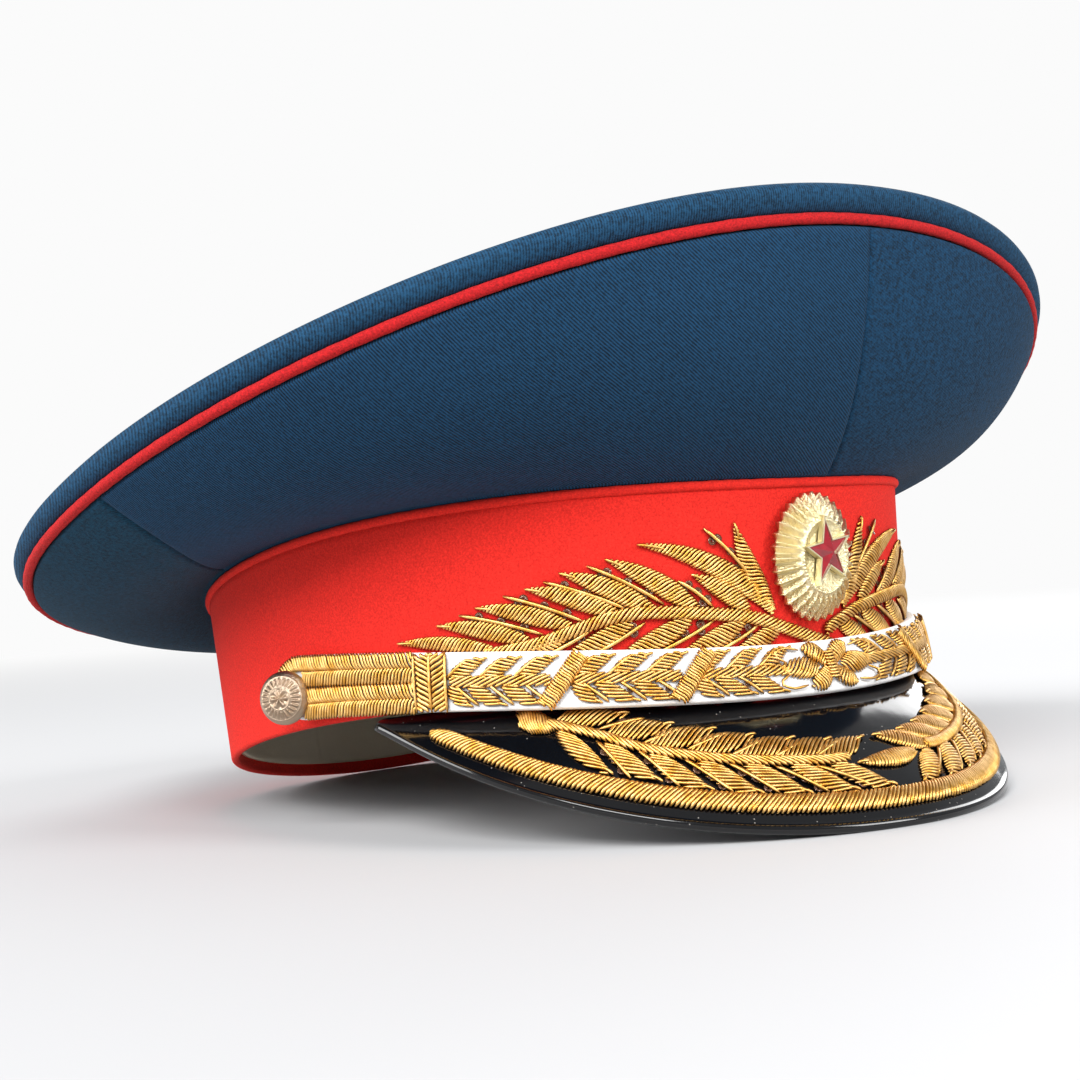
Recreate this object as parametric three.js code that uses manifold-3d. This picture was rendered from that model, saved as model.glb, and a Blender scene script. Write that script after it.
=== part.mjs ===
// A dress visor cap: wide flared crown, tall band, gold embroidery, chin strap, cockade and patent peak.
// Millimetres, +Z up. The front of the cap faces -Y and the wearer's left is +X.
// Everything is drawn in the cap's own frame, where z = 0 is the mean height of the band's lower edge,
// and one group then tips it back to the pose in which it rests on a table.
import * as THREE from 'three';
import { mergeVertices } from 'three/addons/utils/BufferGeometryUtils.js';
import Module from 'manifold-3d';

const wasm = await Module();
wasm.setup();

// ---- driving dimensions ----
const GAP = 0.3; // between neighbouring pieces
const AROUND = 54; // steps round the head
const STEPS = { sidePanel: 15, backPanel: 27, peak: 26, border: 34, strap: 48, braid: 9 };
const TUBE_SIDES = 5;
const BAND = { backLength: 98, halfWidth: 88, topLength: 103.5, topWidth: 88.5, topShift: -3.5, power: 2.17 };
const BAND_HEIGHT = 44.5;
const BAND_SAG = 4.3; // the edges dip at the front and back and rise at the sides
const BAND_WALL = 2.2;
const CROWN = { halfLength: 136, halfWidth: 141, shift: -8.3, power: 2.12 };
const CROWN_HEIGHT = { mean: 62, tilt: 26.5, saddle: 2.3, peak: 1.8 };
const CROWN_WALL = 1.8;
const CROWN_BULGE = 6.5; // the side panels belly outward between band and piping
// the side panels stand on the band and fold out over its welt
const LIP = { off: -1.5, height: 2.7, reach: 1.2, rise: 3.8 };
const CROWN_RISE = 9.3; // flat top above the piping's centre line
const TOP_DISH = 1.5;
const PIPING_RADIUS = 1.35;
const WELT_RADIUS = 1.1;
const SWEATBAND = { wall: 1.2, bottom: 3.5, top: 34 };
const SEAMS = { frontTop: 0, frontBottom: 4, sideTop: 82, sideBottom: 103 }; // degrees from the front
const SEAM_GAP = 0.25; // degrees on either side of a seam
const CROWN_CLEARANCE = PIPING_RADIUS + GAP + 0.7 * CROWN_WALL; // from the piping's centre to a panel
const PEAK = {
  halfWidth: 86, front: 130, back: 40, frontDrop: -40.5, endRise: 1.5, wall: 2.2, crowning: 0.037,
};
const PEAK_ROOT = { angle: 68, height: -0.5, off: -1.5 }; // its ends meet the band this far from the front
const STRAP = {
  wall: 2.7, width: 15, narrowing: 2.5, rise: 4.5, dip: 9.5, end: 144, standoff: 0.5, flare: 0.95,
  sag: 9, knee: 0.5, // its lower edge sags where the cosine of the angle falls below the knee
};
const BRAID = { start: 98.4, end: 129.4, rows: 4, margin: 0.7 };
const KEEPER = { start: 90.2, end: 98.1, top: 1.4, edge: 0.7, margin: 0.3 };
const RELIEF = 1.2; // height of the embroidery over its ground
const BORDER = { inset: 6.6, width: 4.8, end: 125 };
const COCKADE = {
  halfWidth: 13.2, halfHeight: 15.4, centre: 27.8, rays: 32, standoff: 0.9, depth: 5.2, field: 0.56,
};
const STAR = { radius: 8.8, waist: 3.5, squeeze: 0.9, height: 1.7, turn: 8 };
const BUTTON = {
  radius: 6.6, dome: 3.4, skirt: 0.9, along: 138, lower: 1.9, swing: 30, shank: 1.5, neck: 2.3,
};
const REST = { tilt: 9.307, lift: 20.09, shift: -0.62 }; // degrees, mm, mm

const { cos, sin, min, max, abs, hypot, PI } = Math;
const V = (x, y, z) => new THREE.Vector3(x, y, z);
const rad = THREE.MathUtils.degToRad;
const lerp = THREE.MathUtils.lerp;
const bow = (k) => 4 * k * (1 - k); // 0 at both ends, 1 in the middle

// ---- surfaces: angle a is 0 at the front and grows toward +X ----
function oval(a, halfLength, halfWidth, power) {
  const reach = (abs(cos(a)) ** power + abs(sin(a)) ** power) ** (-1 / power);
  return [halfWidth * sin(a) * reach, -halfLength * cos(a) * reach];
}

function outward(a) {
  const x = sin(a) / BAND.halfWidth;
  const y = -cos(a) / BAND.backLength;
  return V(x, y, 0).normalize();
}

// A point on the band: height over its lower edge, and distance off its face.
function onBand(a, height, off = 0) {
  const k = height / BAND_HEIGHT;
  const low = oval(a, BAND.backLength, BAND.halfWidth, BAND.power);
  const high = oval(a, BAND.topLength, BAND.topWidth, BAND.power);
  const x = lerp(low[0], high[0], k);
  const y = lerp(low[1], high[1] + BAND.topShift, k);
  return V(x, y, height - BAND_SAG * cos(2 * a)).addScaledVector(outward(a), off);
}

// Distance round the band in mm, as an angle, by walking along its mid height.
const WALK = [0];
const WALK_STEPS = 720;
for (let i = 1; i <= WALK_STEPS; i++) {
  const from = onBand(PI * (i - 1) / WALK_STEPS, BAND_HEIGHT / 2);
  const to = onBand(PI * i / WALK_STEPS, BAND_HEIGHT / 2);
  WALK.push(WALK[i - 1] + hypot(to.x - from.x, to.y - from.y));
}
function angleAt(along) {
  const target = abs(along);
  const i = max(1, WALK.findIndex((d) => d >= target));
  const part = (target - WALK[i - 1]) / (WALK[i] - WALK[i - 1]);
  return Math.sign(along) * PI * (i - 1 + part) / WALK_STEPS;
}

function pipingHeight(a, reach = 1) {
  const { mean, tilt, saddle, peak } = CROWN_HEIGHT;
  return mean + tilt * reach * cos(a) + saddle * reach ** 2 * cos(2 * a) + peak * reach ** 3 * cos(3 * a);
}

// A point on the piping's ring, moved out by `off` and up by `rise`; reach scales it toward the middle.
function onCrown(a, off = 0, rise = 0, reach = 1) {
  const grow = 1 + off / CROWN.halfWidth;
  const [x, y] = oval(a, CROWN.halfLength * reach * grow, CROWN.halfWidth * reach * grow, CROWN.power);
  return V(x, y + CROWN.shift, pipingHeight(a, reach) + rise);
}

// The peak: t runs from -90 to 90 degrees along its rim, inset is measured from the rim to the band.
function rim(t) {
  const turn = 1 - cos(t);
  const y = -PEAK.front + (PEAK.front - PEAK.back) * turn ** 0.9;
  const z = PEAK.frontDrop + (PEAK.endRise - PEAK.frontDrop) * turn ** 1.15;
  return V(PEAK.halfWidth * sin(t), y, z);
}
function peakRoot(t) {
  return onBand(t * PEAK_ROOT.angle / 90, PEAK_ROOT.height, PEAK_ROOT.off);
}
const ARCHING = V(0, -0.6, 0.8); // the peak swells forward and up
function onPeak(t, inset, off = 0) {
  const edge = rim(t);
  const across = peakRoot(t).sub(edge);
  const k = inset / across.length();
  const arch = bow(k) * PEAK.crowning * across.length();
  const along = rim(t + 0.01).sub(rim(t - 0.01)).normalize();
  const up = across.clone().cross(along).normalize();
  if (up.z < 0) up.negate();
  return edge.addScaledVector(across, k).addScaledVector(ARCHING, arch).addScaledVector(up, off);
}
const RIM_WALK = [0];
for (let i = 1; i <= WALK_STEPS; i++) {
  const step = rim(PI / 2 * i / WALK_STEPS).distanceTo(rim(PI / 2 * (i - 1) / WALK_STEPS));
  RIM_WALK.push(RIM_WALK[i - 1] + step);
}
function rimAngle(along) {
  const target = abs(along);
  const i = max(1, RIM_WALK.findIndex((d) => d >= target));
  const part = (target - RIM_WALK[i - 1]) / (RIM_WALK[i] - RIM_WALK[i - 1]);
  return Math.sign(along) * PI / 2 * (i - 1 + part) / WALK_STEPS;
}

// The strap's back lies on the band at the sides; over the peak its lower edge is pushed out.
function strapEdges(a) {
  const level = STRAP.rise - STRAP.dip * cos(a);
  const low = level - STRAP.sag * max(0, STRAP.knee - cos(a)) ** 2;
  const high = level + STRAP.width - STRAP.narrowing * cos(a);
  return { low, high, push: STRAP.standoff + STRAP.flare * max(0, GAP - low) };
}
function onStrap(a, across, off) {
  const { low, high, push } = strapEdges(a);
  const bottom = onBand(a, low, push);
  const top = onBand(a, high, STRAP.standoff);
  const up = top.clone().sub(bottom);
  const side = onBand(a + 0.01, low, push).sub(onBand(a - 0.01, low, push));
  const face = side.cross(up).normalize();
  return bottom.addScaledVector(up, across / up.length()).addScaledVector(face, off);
}
function strapWidth(a) {
  const { low, high, push } = strapEdges(a);
  return onBand(a, low, push).distanceTo(onBand(a, high, STRAP.standoff));
}

// ---- closed bodies from rows of points ----
function body(points, faces) {
  const geometry = new THREE.BufferGeometry();
  const places = points.flatMap((p) => [p.x, p.y, p.z]);
  geometry.setAttribute('position', new THREE.Float32BufferAttribute(places, 3));
  let volume = 0;
  for (const [i, j, k] of faces) volume += points[i].dot(points[j].clone().cross(points[k]));
  geometry.setIndex(volume > 0 ? faces.flat() : faces.flatMap(([i, j, k]) => [i, k, j]));
  return geometry;
}

// Triangles over a nearly flat loop, found in the plane of its mean normal.
function capOf(loop) {
  const normal = V(0, 0, 0);
  loop.forEach((p, i) => normal.add(p.clone().cross(loop[(i + 1) % loop.length])));
  const x = loop[1].clone().sub(loop[0]).normalize();
  const y = normal.normalize().clone().cross(x);
  return THREE.ShapeUtils.triangulateShape(loop.map((p) => new THREE.Vector2(p.dot(x), p.dot(y))), []);
}

// sections[i] is a closed loop of points; the loops close on each other, or end in caps.
function loft(sections, joined) {
  const m = sections[0].length;
  const n = sections.length;
  const faces = [];
  for (let i = 0; i < (joined ? n : n - 1); i++) {
    for (let j = 0; j < m; j++) {
      const a = i * m + j;
      const b = i * m + (j + 1) % m;
      const c = ((i + 1) % n) * m;
      faces.push([a, b, c + (j + 1) % m], [a, c + (j + 1) % m, c + j]);
    }
  }
  if (!joined) {
    const last = (n - 1) * m;
    for (const [i, j, k] of capOf(sections[0])) faces.push([i, k, j]);
    for (const [i, j, k] of capOf(sections[n - 1])) faces.push([last + i, last + j, last + k]);
  }
  return body(sections.flat(), faces);
}

// A closed bowl or lid: rings of points between a point on the axis outside and one inside.
function lid(outerPole, rings, innerPole) {
  const m = rings[0].length;
  const points = [...rings.flat(), outerPole, innerPole];
  const faces = [];
  for (let j = 0; j < m; j++) {
    const next = (j + 1) % m;
    faces.push([m * rings.length, next, j]);
    for (let i = 0; i < rings.length - 1; i++) {
      const a = i * m;
      faces.push([a + j, a + next, a + m + next], [a + j, a + m + next, a + m + j]);
    }
    const last = (rings.length - 1) * m;
    faces.push([m * rings.length + 1, last + j, last + next]);
  }
  return body(points, faces);
}

const angles = (steps) => Array.from({ length: steps }, (_, i) => 2 * PI * i / steps);
const span = (from, to, steps) => Array.from({ length: steps + 1 }, (_, i) => lerp(from, to, i / steps));

function tube(centre, radius) {
  return loft(angles(AROUND).map((a) => {
    const out = outward(a);
    return angles(TUBE_SIDES).map((q) => centre(a)
      .addScaledVector(out, radius * cos(q)).add(V(0, 0, radius * sin(q))));
  }), true);
}

function solidOf(geometry) {
  const plain = geometry.clone();
  plain.deleteAttribute('normal');
  plain.deleteAttribute('uv');
  const merged = mergeVertices(plain, 1e-5);
  return new wasm.Manifold(new wasm.Mesh({
    numProp: 3,
    vertProperties: merged.attributes.position.array,
    triVerts: new Uint32Array(merged.index.array),
  }));
}
function meshed(solid) {
  const mesh = solid.getMesh();
  const geometry = new THREE.BufferGeometry();
  geometry.setAttribute('position', new THREE.BufferAttribute(mesh.vertProperties, 3));
  geometry.setIndex([...mesh.triVerts]);
  return geometry;
}
const joined = (geometries) => meshed(geometries.map(solidOf).reduce((whole, piece) => whole.add(piece)));

// ---- crown ----
function crownTop() {
  // off and rise trace the rolled edge from the flat top down to the piping
  const roll = [
    { off: -9, rise: CROWN_RISE }, { off: -2.5, rise: 8.9 }, { off: 1.6, rise: 7.4 },
    { off: 3, rise: 5.2 }, { off: 2.2, rise: 3 }, { off: 0.6, rise: PIPING_RADIUS + GAP },
  ];
  const ring = (off, rise, reach) => angles(AROUND).map((a) => onCrown(a, off, rise, reach));
  const outer = [ring(0, CROWN_RISE - TOP_DISH / 2, 0.5), ...roll.map(({ off, rise }) => ring(off, rise))];
  const inner = [
    ring(-1.2, PIPING_RADIUS + GAP), ring(0.6, 4.4), ring(-1.6, 6.6), ring(-9, CROWN_RISE - CROWN_WALL),
    ring(0, CROWN_RISE - CROWN_WALL - TOP_DISH / 2, 0.5),
  ];
  const top = V(0, CROWN.shift, pipingHeight(0, 0) + CROWN_RISE - TOP_DISH);
  return lid(top, [...outer, ...inner], top.clone().setZ(top.z - CROWN_WALL));
}

// The profile of a side panel at k = 0 (band) to 1 (piping), moved inward by `depth`.
// It arrives square to the piping, centred on it.
function crownSide(a, k, depth) {
  const low = onBand(a, BAND_HEIGHT + LIP.rise, LIP.reach);
  const out = outward(a);
  const faceOf = (run) => out.clone().multiplyScalar(run.z).add(V(0, 0, -run.dot(out))).normalize();
  const whole = onCrown(a).sub(low);
  const arrival = whole.clone().addScaledVector(faceOf(whole), -4 * CROWN_BULGE).normalize();
  const high = onCrown(a).addScaledVector(arrival, -CROWN_CLEARANCE)
    .addScaledVector(faceOf(arrival), CROWN_WALL / 2);
  const run = high.clone().sub(low);
  return low.addScaledVector(run, k).addScaledVector(faceOf(run), bow(k) * CROWN_BULGE - depth);
}
function crownPanel(from, to, steps) {
  const sections = span(0, 1, steps).map((part) => {
    const angle = (k) => rad(lerp(lerp(from.bottom, to.bottom, part), lerp(from.top, to.top, part), k));
    const lip = (off, rise) => onBand(angle(0), BAND_HEIGHT + rise, off);
    return [
      lip(LIP.off, GAP), lip(LIP.off, LIP.height),
      ...[0, 0.2, 0.45, 0.72, 1].map((k) => crownSide(angle(k), k, 0)),
      ...[1, 0.6, 0.25, 0].map((k) => crownSide(angle(k), k, CROWN_WALL)),
      lip(LIP.off - CROWN_WALL, LIP.rise + CROWN_WALL), lip(LIP.off - CROWN_WALL, GAP),
    ];
  });
  return loft(sections, false);
}
const frontSeam = (side) => ({
  top: SEAMS.frontTop + side * SEAM_GAP, bottom: SEAMS.frontBottom + side * SEAM_GAP,
});
const sideSeam = (side, shift) => ({
  top: side * (SEAMS.sideTop + shift * SEAM_GAP), bottom: side * (SEAMS.sideBottom + shift * SEAM_GAP),
});

// ---- band ----
function wall(bottom, top, outer, inner) {
  return loft(angles(AROUND).map((a) => [
    onBand(a, bottom, outer), onBand(a, top, outer), onBand(a, top, inner), onBand(a, bottom, inner),
  ]), true);
}
const crownPiping = () => tube((a) => onCrown(a), PIPING_RADIUS);
const welt = () => tube((a) => onBand(a, BAND_HEIGHT + WELT_RADIUS + GAP, 0.2), WELT_RADIUS);
const sweatband = () => {
  const outer = -BAND_WALL - GAP;
  return wall(SWEATBAND.bottom, SWEATBAND.top, outer, outer - SWEATBAND.wall);
};

// ---- peak ----
function peakShell() {
  const half = PEAK.wall / 2;
  return loft(span(-PI / 2, PI / 2, STEPS.peak).map((t) => {
    const length = peakRoot(t).distanceTo(rim(t));
    const section = [
      { inset: 0, off: -half }, { inset: 0.5, off: -0.3 }, { inset: 1.8, off: 0 },
      { inset: 0.4 * length, off: 0 }, { inset: 0.7 * length, off: 0 }, { inset: length, off: 0 },
      { inset: length, off: -PEAK.wall }, { inset: 0.55 * length, off: -PEAK.wall },
      { inset: 1.8, off: -PEAK.wall }, { inset: 0.5, off: 0.3 - PEAK.wall },
    ];
    return section.map(({ inset, off }) => onPeak(t, inset, off));
  }), false);
}
function peakBorder() {
  const half = BORDER.width / 2;
  const sections = span(-BORDER.end, BORDER.end, STEPS.border).map((along) => {
    const t = rimAngle(along);
    const round = min(1, 0.35 + (BORDER.end - abs(along)) / half);
    const at = (side, off) => onPeak(t, BORDER.inset + side * half * round, off);
    return [at(-1, GAP), at(-0.6, RELIEF), at(0.6, RELIEF), at(1, GAP)];
  });
  return loft(sections, false);
}

// ---- embroidery: leaves and stems in (along, across) millimetres, laid on a surface ----
// A leaf is a pointed body with a ridge, and `bend` bows it sideways. k runs from its base to its tip,
// and w is the share of the full width there.
const LEAF_SWELL = [{ k: 0.03, w: 0.3 }, { k: 0.3, w: 0.95 }, { k: 0.62, w: 0.9 }, { k: 0.97, w: 0.12 }];
const SHORT_LEAF = { length: 12, swell: [{ k: 0.03, w: 0.3 }, { k: 0.45, w: 1 }, { k: 0.97, w: 0.12 }] };
function leaf(place, from, to, width, bend, ground) {
  const dx = to[0] - from[0];
  const dy = to[1] - from[1];
  const length = hypot(dx, dy);
  const at = (k, side, off) => {
    const shift = side + bend * bow(k);
    return place(from[0] + dx * k - dy / length * shift, from[1] + dy * k + dx / length * shift, off);
  };
  const rows = length > SHORT_LEAF.length ? LEAF_SWELL : SHORT_LEAF.swell;
  return loft(rows.map(({ k, w }) => {
    const half = w * width / 2;
    const ridge = ground + (RELIEF - 0.1) * max(0.45, w);
    return [at(k, -half, ground), at(k, 0, ridge), at(k, half, ground)];
  }), false);
}
function stem(place, points, width, top = GAP + RELIEF) {
  const curve = new THREE.CatmullRomCurve3(points.map(([x, y]) => V(x, y, 0)));
  const steps = 2 * (points.length - 1);
  return loft(span(0, 1, steps).map((k) => {
    const p = curve.getPointAt(k);
    const d = curve.getTangentAt(k);
    const at = (side, off) => place(p.x - d.y * side, p.y + d.x * side, off);
    const half = width / 2;
    return [at(-half, GAP), at(-half * 0.5, top), at(half * 0.5, top), at(half, GAP)];
  }), false);
}

function cutAway(geometry, cutter) {
  return meshed(solidOf(geometry).subtract(solidOf(cutter)));
}

// Rows: where a leaf leaves the stem and where its tip lies, as [distance from the front, height].
const WREATH_STEM = [[8, 12.8], [26, 16.2], [46, 17.6], [60, 15.5], [72, 13.6], [80, 13.2]];
const STEM_START = { right: [-5, 8.2], left: [5.2, 11.9] };
const WREATH_LEAVES = [
  { from: [11, 13.6], to: [22, 36], width: 5.6, bend: -1.6 },
  { from: [14, 14.4], to: [45, 33], width: 5, bend: 3.4 },
  { from: [20, 15.4], to: [32.5, 25], width: 4.8, bend: 0.4 },
  { from: [31, 17], to: [52, 30], width: 5, bend: 0.6 },
  { from: [41, 17.5], to: [63, 28], width: 5, bend: 0.6 },
  { from: [50, 17.5], to: [71, 25.4], width: 4.6, bend: 0.6 },
  { from: [61, 16], to: [83, 22], width: 4.4, bend: 0.6 },
  { from: [70, 14.2], to: [93, 19], width: 4.2, bend: 0.6 },
  { from: [78, 13.4], to: [103, 16.4], width: 3.4, bend: 0.4 },
  { from: [9, 12.2], to: [24, 7.4], width: 4.4, bend: -0.6 },
  { from: [20, 14.5], to: [37, 8], width: 5, bend: -0.6 },
  { from: [34, 16], to: [52, 9], width: 5, bend: -0.6 },
  { from: [47, 16], to: [63, 10.4], width: 4.4, bend: -0.6 },
];
// Neighbouring leaves start at slightly different depths, so that no two undersides coincide.
const ground = (i) => GAP + 0.15 + 0.12 * (i % 3);

function bandWreath(side, start) {
  const place = (along, height, off) => onBand(side * angleAt(along), height, off);
  const leaves = WREATH_LEAVES.map(({ from, to, width, bend }, i) => (
    leaf(place, from, to, width, bend, ground(i))));
  // everything lower than the strap's upper edge is cut away
  const cut = { from: -20, to: 130, inside: -1, outside: 4, bottom: -9 };
  const underStrap = loft(span(cut.from, cut.to, STEPS.strap).map((along) => {
    const a = side * angleAt(along);
    const top = strapEdges(a).high + GAP;
    return [
      onBand(a, top, cut.inside), onBand(a, top, cut.outside),
      onBand(a, cut.bottom, cut.outside), onBand(a, cut.bottom, cut.inside),
    ];
  }), false);
  return cutAway(joined([stem(place, [start, ...WREATH_STEM], 3), ...leaves]), underStrap);
}

// On the peak: distance along the rim from its middle, and distance in from the rim.
const SPRAY = { start: 97, end: 14, pitch: 11, leaves: 7, first: 86, width: 4.6, stalk: 2.6 };
const SPRAY_LEAF = { innerReach: 17, outerReach: 12.5, spread: 8.4, foot: 0.8, bend: 0.5 };
// How far in from the rim the stem runs: it steps in between two places along the rim.
const SPRAY_STEM = { near: 18.6, far: 20.4, from: 60, to: 86 };
function stalk(along) {
  const part = (along - SPRAY_STEM.from) / (SPRAY_STEM.to - SPRAY_STEM.from);
  return lerp(SPRAY_STEM.near, SPRAY_STEM.far, min(1, max(0, part)));
}
function peakSpray(side, endLeaf) {
  const place = (along, inset, off) => onPeak(side * rimAngle(along), inset, off);
  const line = span(SPRAY.start, SPRAY.end, SPRAY.leaves).map((along) => [along, stalk(along)]);
  const pieces = [stem(place, line, SPRAY.stalk)];
  const { innerReach, outerReach, spread, foot, bend } = SPRAY_LEAF;
  for (let i = 0; i < SPRAY.leaves; i++) {
    const at = SPRAY.first - SPRAY.pitch * i;
    const inset = stalk(at);
    const inner = [[at - 1, inset + foot], [at - innerReach, inset + spread]];
    const outer = [[at, inset - foot], [at - outerReach, inset - spread]];
    pieces.push(leaf(place, ...inner, SPRAY.width, -bend, ground(i)));
    pieces.push(leaf(place, ...outer, SPRAY.width, bend, ground(i)));
  }
  // the one leaf that crosses the middle
  const last = [[SPRAY.end + 2, SPRAY_STEM.near], [-9, SPRAY_STEM.near - foot]];
  if (endLeaf) pieces.push(leaf(place, ...last, SPRAY.width, 0, ground(0)));
  return joined(pieces);
}

// ---- chin strap ----
function chinStrap() {
  return loft(span(-STRAP.end, STRAP.end, STEPS.strap).map((along) => {
    const a = angleAt(along);
    const width = strapWidth(a);
    return [
      onStrap(a, 0, 0), onStrap(a, 0, STRAP.wall), onStrap(a, width, STRAP.wall), onStrap(a, width, 0),
    ];
  }), false);
}
const onStrapFace = (along, across, off) => onStrap(angleAt(along), across, STRAP.wall + off);

function strapBraid(side) {
  return loft(span(BRAID.start, BRAID.end, STEPS.braid).map((along) => {
    const row = (strapWidth(angleAt(along)) - 2 * BRAID.margin) / BRAID.rows;
    return span(0, BRAID.rows, 2 * BRAID.rows).map((k, i) => {
      const inner = i > 0 && i < 2 * BRAID.rows;
      const valley = inner ? RELIEF / 2 : GAP;
      return onStrapFace(side * along, BRAID.margin + row * k, i % 2 ? RELIEF : valley);
    });
  }), false);
}
// Two rounded bars side by side, with a groove between them.
function strapKeeper(side) {
  const { start, end, top, edge, margin } = KEEPER;
  const middle = (start + end) / 2;
  const profile = [
    { along: start, off: edge }, { along: start + 1, off: top },
    { along: middle - 1, off: top }, { along: middle, off: edge }, { along: middle + 1, off: top },
    { along: end - 1, off: top }, { along: end, off: edge },
  ];
  return loft(profile.map(({ along, off }) => {
    const width = strapWidth(angleAt(along));
    const at = (across, height) => onStrapFace(side * along, across, height);
    return [at(margin, GAP), at(margin, off), at(width - margin, off), at(width - margin, GAP)];
  }), false);
}

// Three runs of paired leaves on each side grow toward the centre knot; a slanting tie ends each run.
const GARLAND = {
  middle: 6.2, pitch: 8, reach: 8.6, spread: 5, width: 3.4, stagger: 3.8, runs: [89.4, 61, 35],
};
const TIE = { runs: [[68.5, 60.5], [40.5, 31.5]], low: 0.8, high: 12.2, width: 3.6, top: 1.7 };
const KNOT = {
  foot: 0.6, reach: 6.4, spread: 5.2, width: 4.2, bud: [13.6, 4], low: 3.2, high: 9.6, wrap: 2.6,
};
function strapLaurel() {
  const pieces = [];
  // the strap widens a little away from the front, and its middle line with it
  const middle = (along) => GARLAND.middle + 0.5 * along / GARLAND.runs[0];
  const centre = GARLAND.middle;
  for (const side of [-1, 1]) {
    const place = (along, across, off) => onStrapFace(side * along, across, off);
    const line = span(0, GARLAND.runs[0], 6).map((along) => [along, middle(along)]);
    pieces.push(stem(place, line, 1.6));
    for (const [r, start] of GARLAND.runs.entries()) {
      for (let i = 0; i < 3; i++) {
        const at = start - GARLAND.pitch * i;
        for (const way of [-1, 1]) {
          const ahead = way < 0 ? at + GARLAND.stagger : at; // the lower leaves start earlier
          const from = [min(ahead, start), middle(at) + way * 0.5];
          const to = [ahead - GARLAND.reach, middle(at) + way * GARLAND.spread];
          pieces.push(leaf(place, from, to, GARLAND.width, way * -0.4, ground(i + r)));
        }
      }
    }
    for (const [low, high] of TIE.runs) {
      pieces.push(stem(place, [[low, TIE.low], [high, TIE.high]], TIE.width, TIE.top));
    }
    for (const way of [-1, 1]) {
      const from = [KNOT.foot, centre + way * 0.8];
      const to = [KNOT.reach, centre + way * KNOT.spread];
      pieces.push(leaf(place, from, to, KNOT.width, 0, ground(1)));
    }
    pieces.push(leaf(place, [KNOT.bud[0], centre], [KNOT.bud[1], centre], KNOT.width, 0, ground(2)));
  }
  pieces.push(stem(onStrapFace, [[0, KNOT.low], [0, KNOT.high]], KNOT.wrap, TIE.top));
  return joined(pieces);
}

// ---- badge and buttons: discs built in (right, up, off) on a flat place ----
function seat(origin, right, up) {
  const face = right.clone().cross(up);
  return (x, y, off) => origin.clone()
    .addScaledVector(right, x).addScaledVector(up, y).addScaledVector(face, off);
}
function badgeSeat(off) {
  const up = onBand(0, BAND_HEIGHT).sub(onBand(0, 0)).normalize();
  return seat(onBand(0, COCKADE.centre, off), V(1, 0, 0), up);
}
function cockade() {
  const place = badgeSeat(COCKADE.standoff);
  const ring = (scale, ridges, valleys) => angles(2 * COCKADE.rays).map((q, i) => {
    const ridge = i % 2 === 0;
    const reach = scale * (scale === 1 && !ridge ? 0.96 : 1);
    const height = ridge ? ridges : valleys;
    return place(COCKADE.halfWidth * reach * cos(q), COCKADE.halfHeight * reach * sin(q), height);
  });
  return lid(place(0, 0, COCKADE.depth), [
    ring(COCKADE.field, COCKADE.depth, COCKADE.depth), ring(1, 1.5, 0.7), ring(1, 0, 0),
  ], place(0, 0, 0));
}
function star() {
  const place = badgeSeat(COCKADE.standoff + COCKADE.depth + GAP);
  const outline = (off, scale) => angles(10).map((q, i) => {
    const reach = scale * (i % 2 ? STAR.waist : STAR.radius);
    const turn = q + PI / 2 + rad(STAR.turn);
    return place(STAR.squeeze * reach * cos(turn), reach * sin(turn), off);
  });
  return lid(place(0, 0, STAR.height), [outline(0.7, 0.96), outline(0, 1)], place(0, 0, 0));
}
// A button hangs from its shank, with its face swung toward the front by BUTTON.swing degrees.
function button(side) {
  const a = angleAt(side * BUTTON.along);
  const middle = strapWidth(a) / 2 - BUTTON.lower;
  const ground = STRAP.wall + GAP;
  const up = onStrap(a, middle + 1, ground).sub(onStrap(a, middle, ground)).normalize();
  const right = onStrap(a + 0.01, middle, ground).sub(onStrap(a, middle, ground)).normalize();
  const out = right.clone().cross(up);
  const swing = rad(BUTTON.swing);
  right.multiplyScalar(cos(swing)).addScaledVector(out, side * sin(swing));
  const lift = ground + BUTTON.radius * sin(swing);
  const place = seat(onStrap(a, middle, lift), right, up);
  const profile = [
    { radius: 5, off: 0.78 * BUTTON.dome }, { radius: BUTTON.radius, off: BUTTON.skirt },
    { radius: BUTTON.radius, off: 0 }, { radius: BUTTON.shank, off: 0 },
    { radius: BUTTON.shank, off: -BUTTON.neck },
  ];
  const rings = profile.map((row) => angles(18).map((q) => (
    place(row.radius * cos(q), row.radius * sin(q), row.off))));
  return lid(place(0, 0, BUTTON.dome), rings, place(0, 0, -BUTTON.neck));
}

// ---- materials and assembly ----
const FINISH = {
  twill: { color: 0x1d4257, roughness: 0.9, metalness: 0 },
  felt: { color: 0xdb2a24, roughness: 0.95, metalness: 0 },
  bullion: { color: 0xcf9a3a, roughness: 0.35, metalness: 0.9 },
  patent: { color: 0x0c0c0e, roughness: 0.08, metalness: 0 },
  strap: { color: 0xf2f0ec, roughness: 0.8, metalness: 0 },
  lining: { color: 0xb4a386, roughness: 0.7, metalness: 0 },
  gilt: { color: 0xe0cf8a, roughness: 0.3, metalness: 1 },
  enamel: { color: 0x8f1024, roughness: 0.12, metalness: 0 },
};
const material = (finish) => new THREE.MeshStandardMaterial({ ...FINISH[finish], name: finish });

const cap = new THREE.Group();
function add(name, geometry, finish) {
  const mesh = new THREE.Mesh(geometry, material(finish));
  mesh.name = name;
  cap.add(mesh);
}

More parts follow.
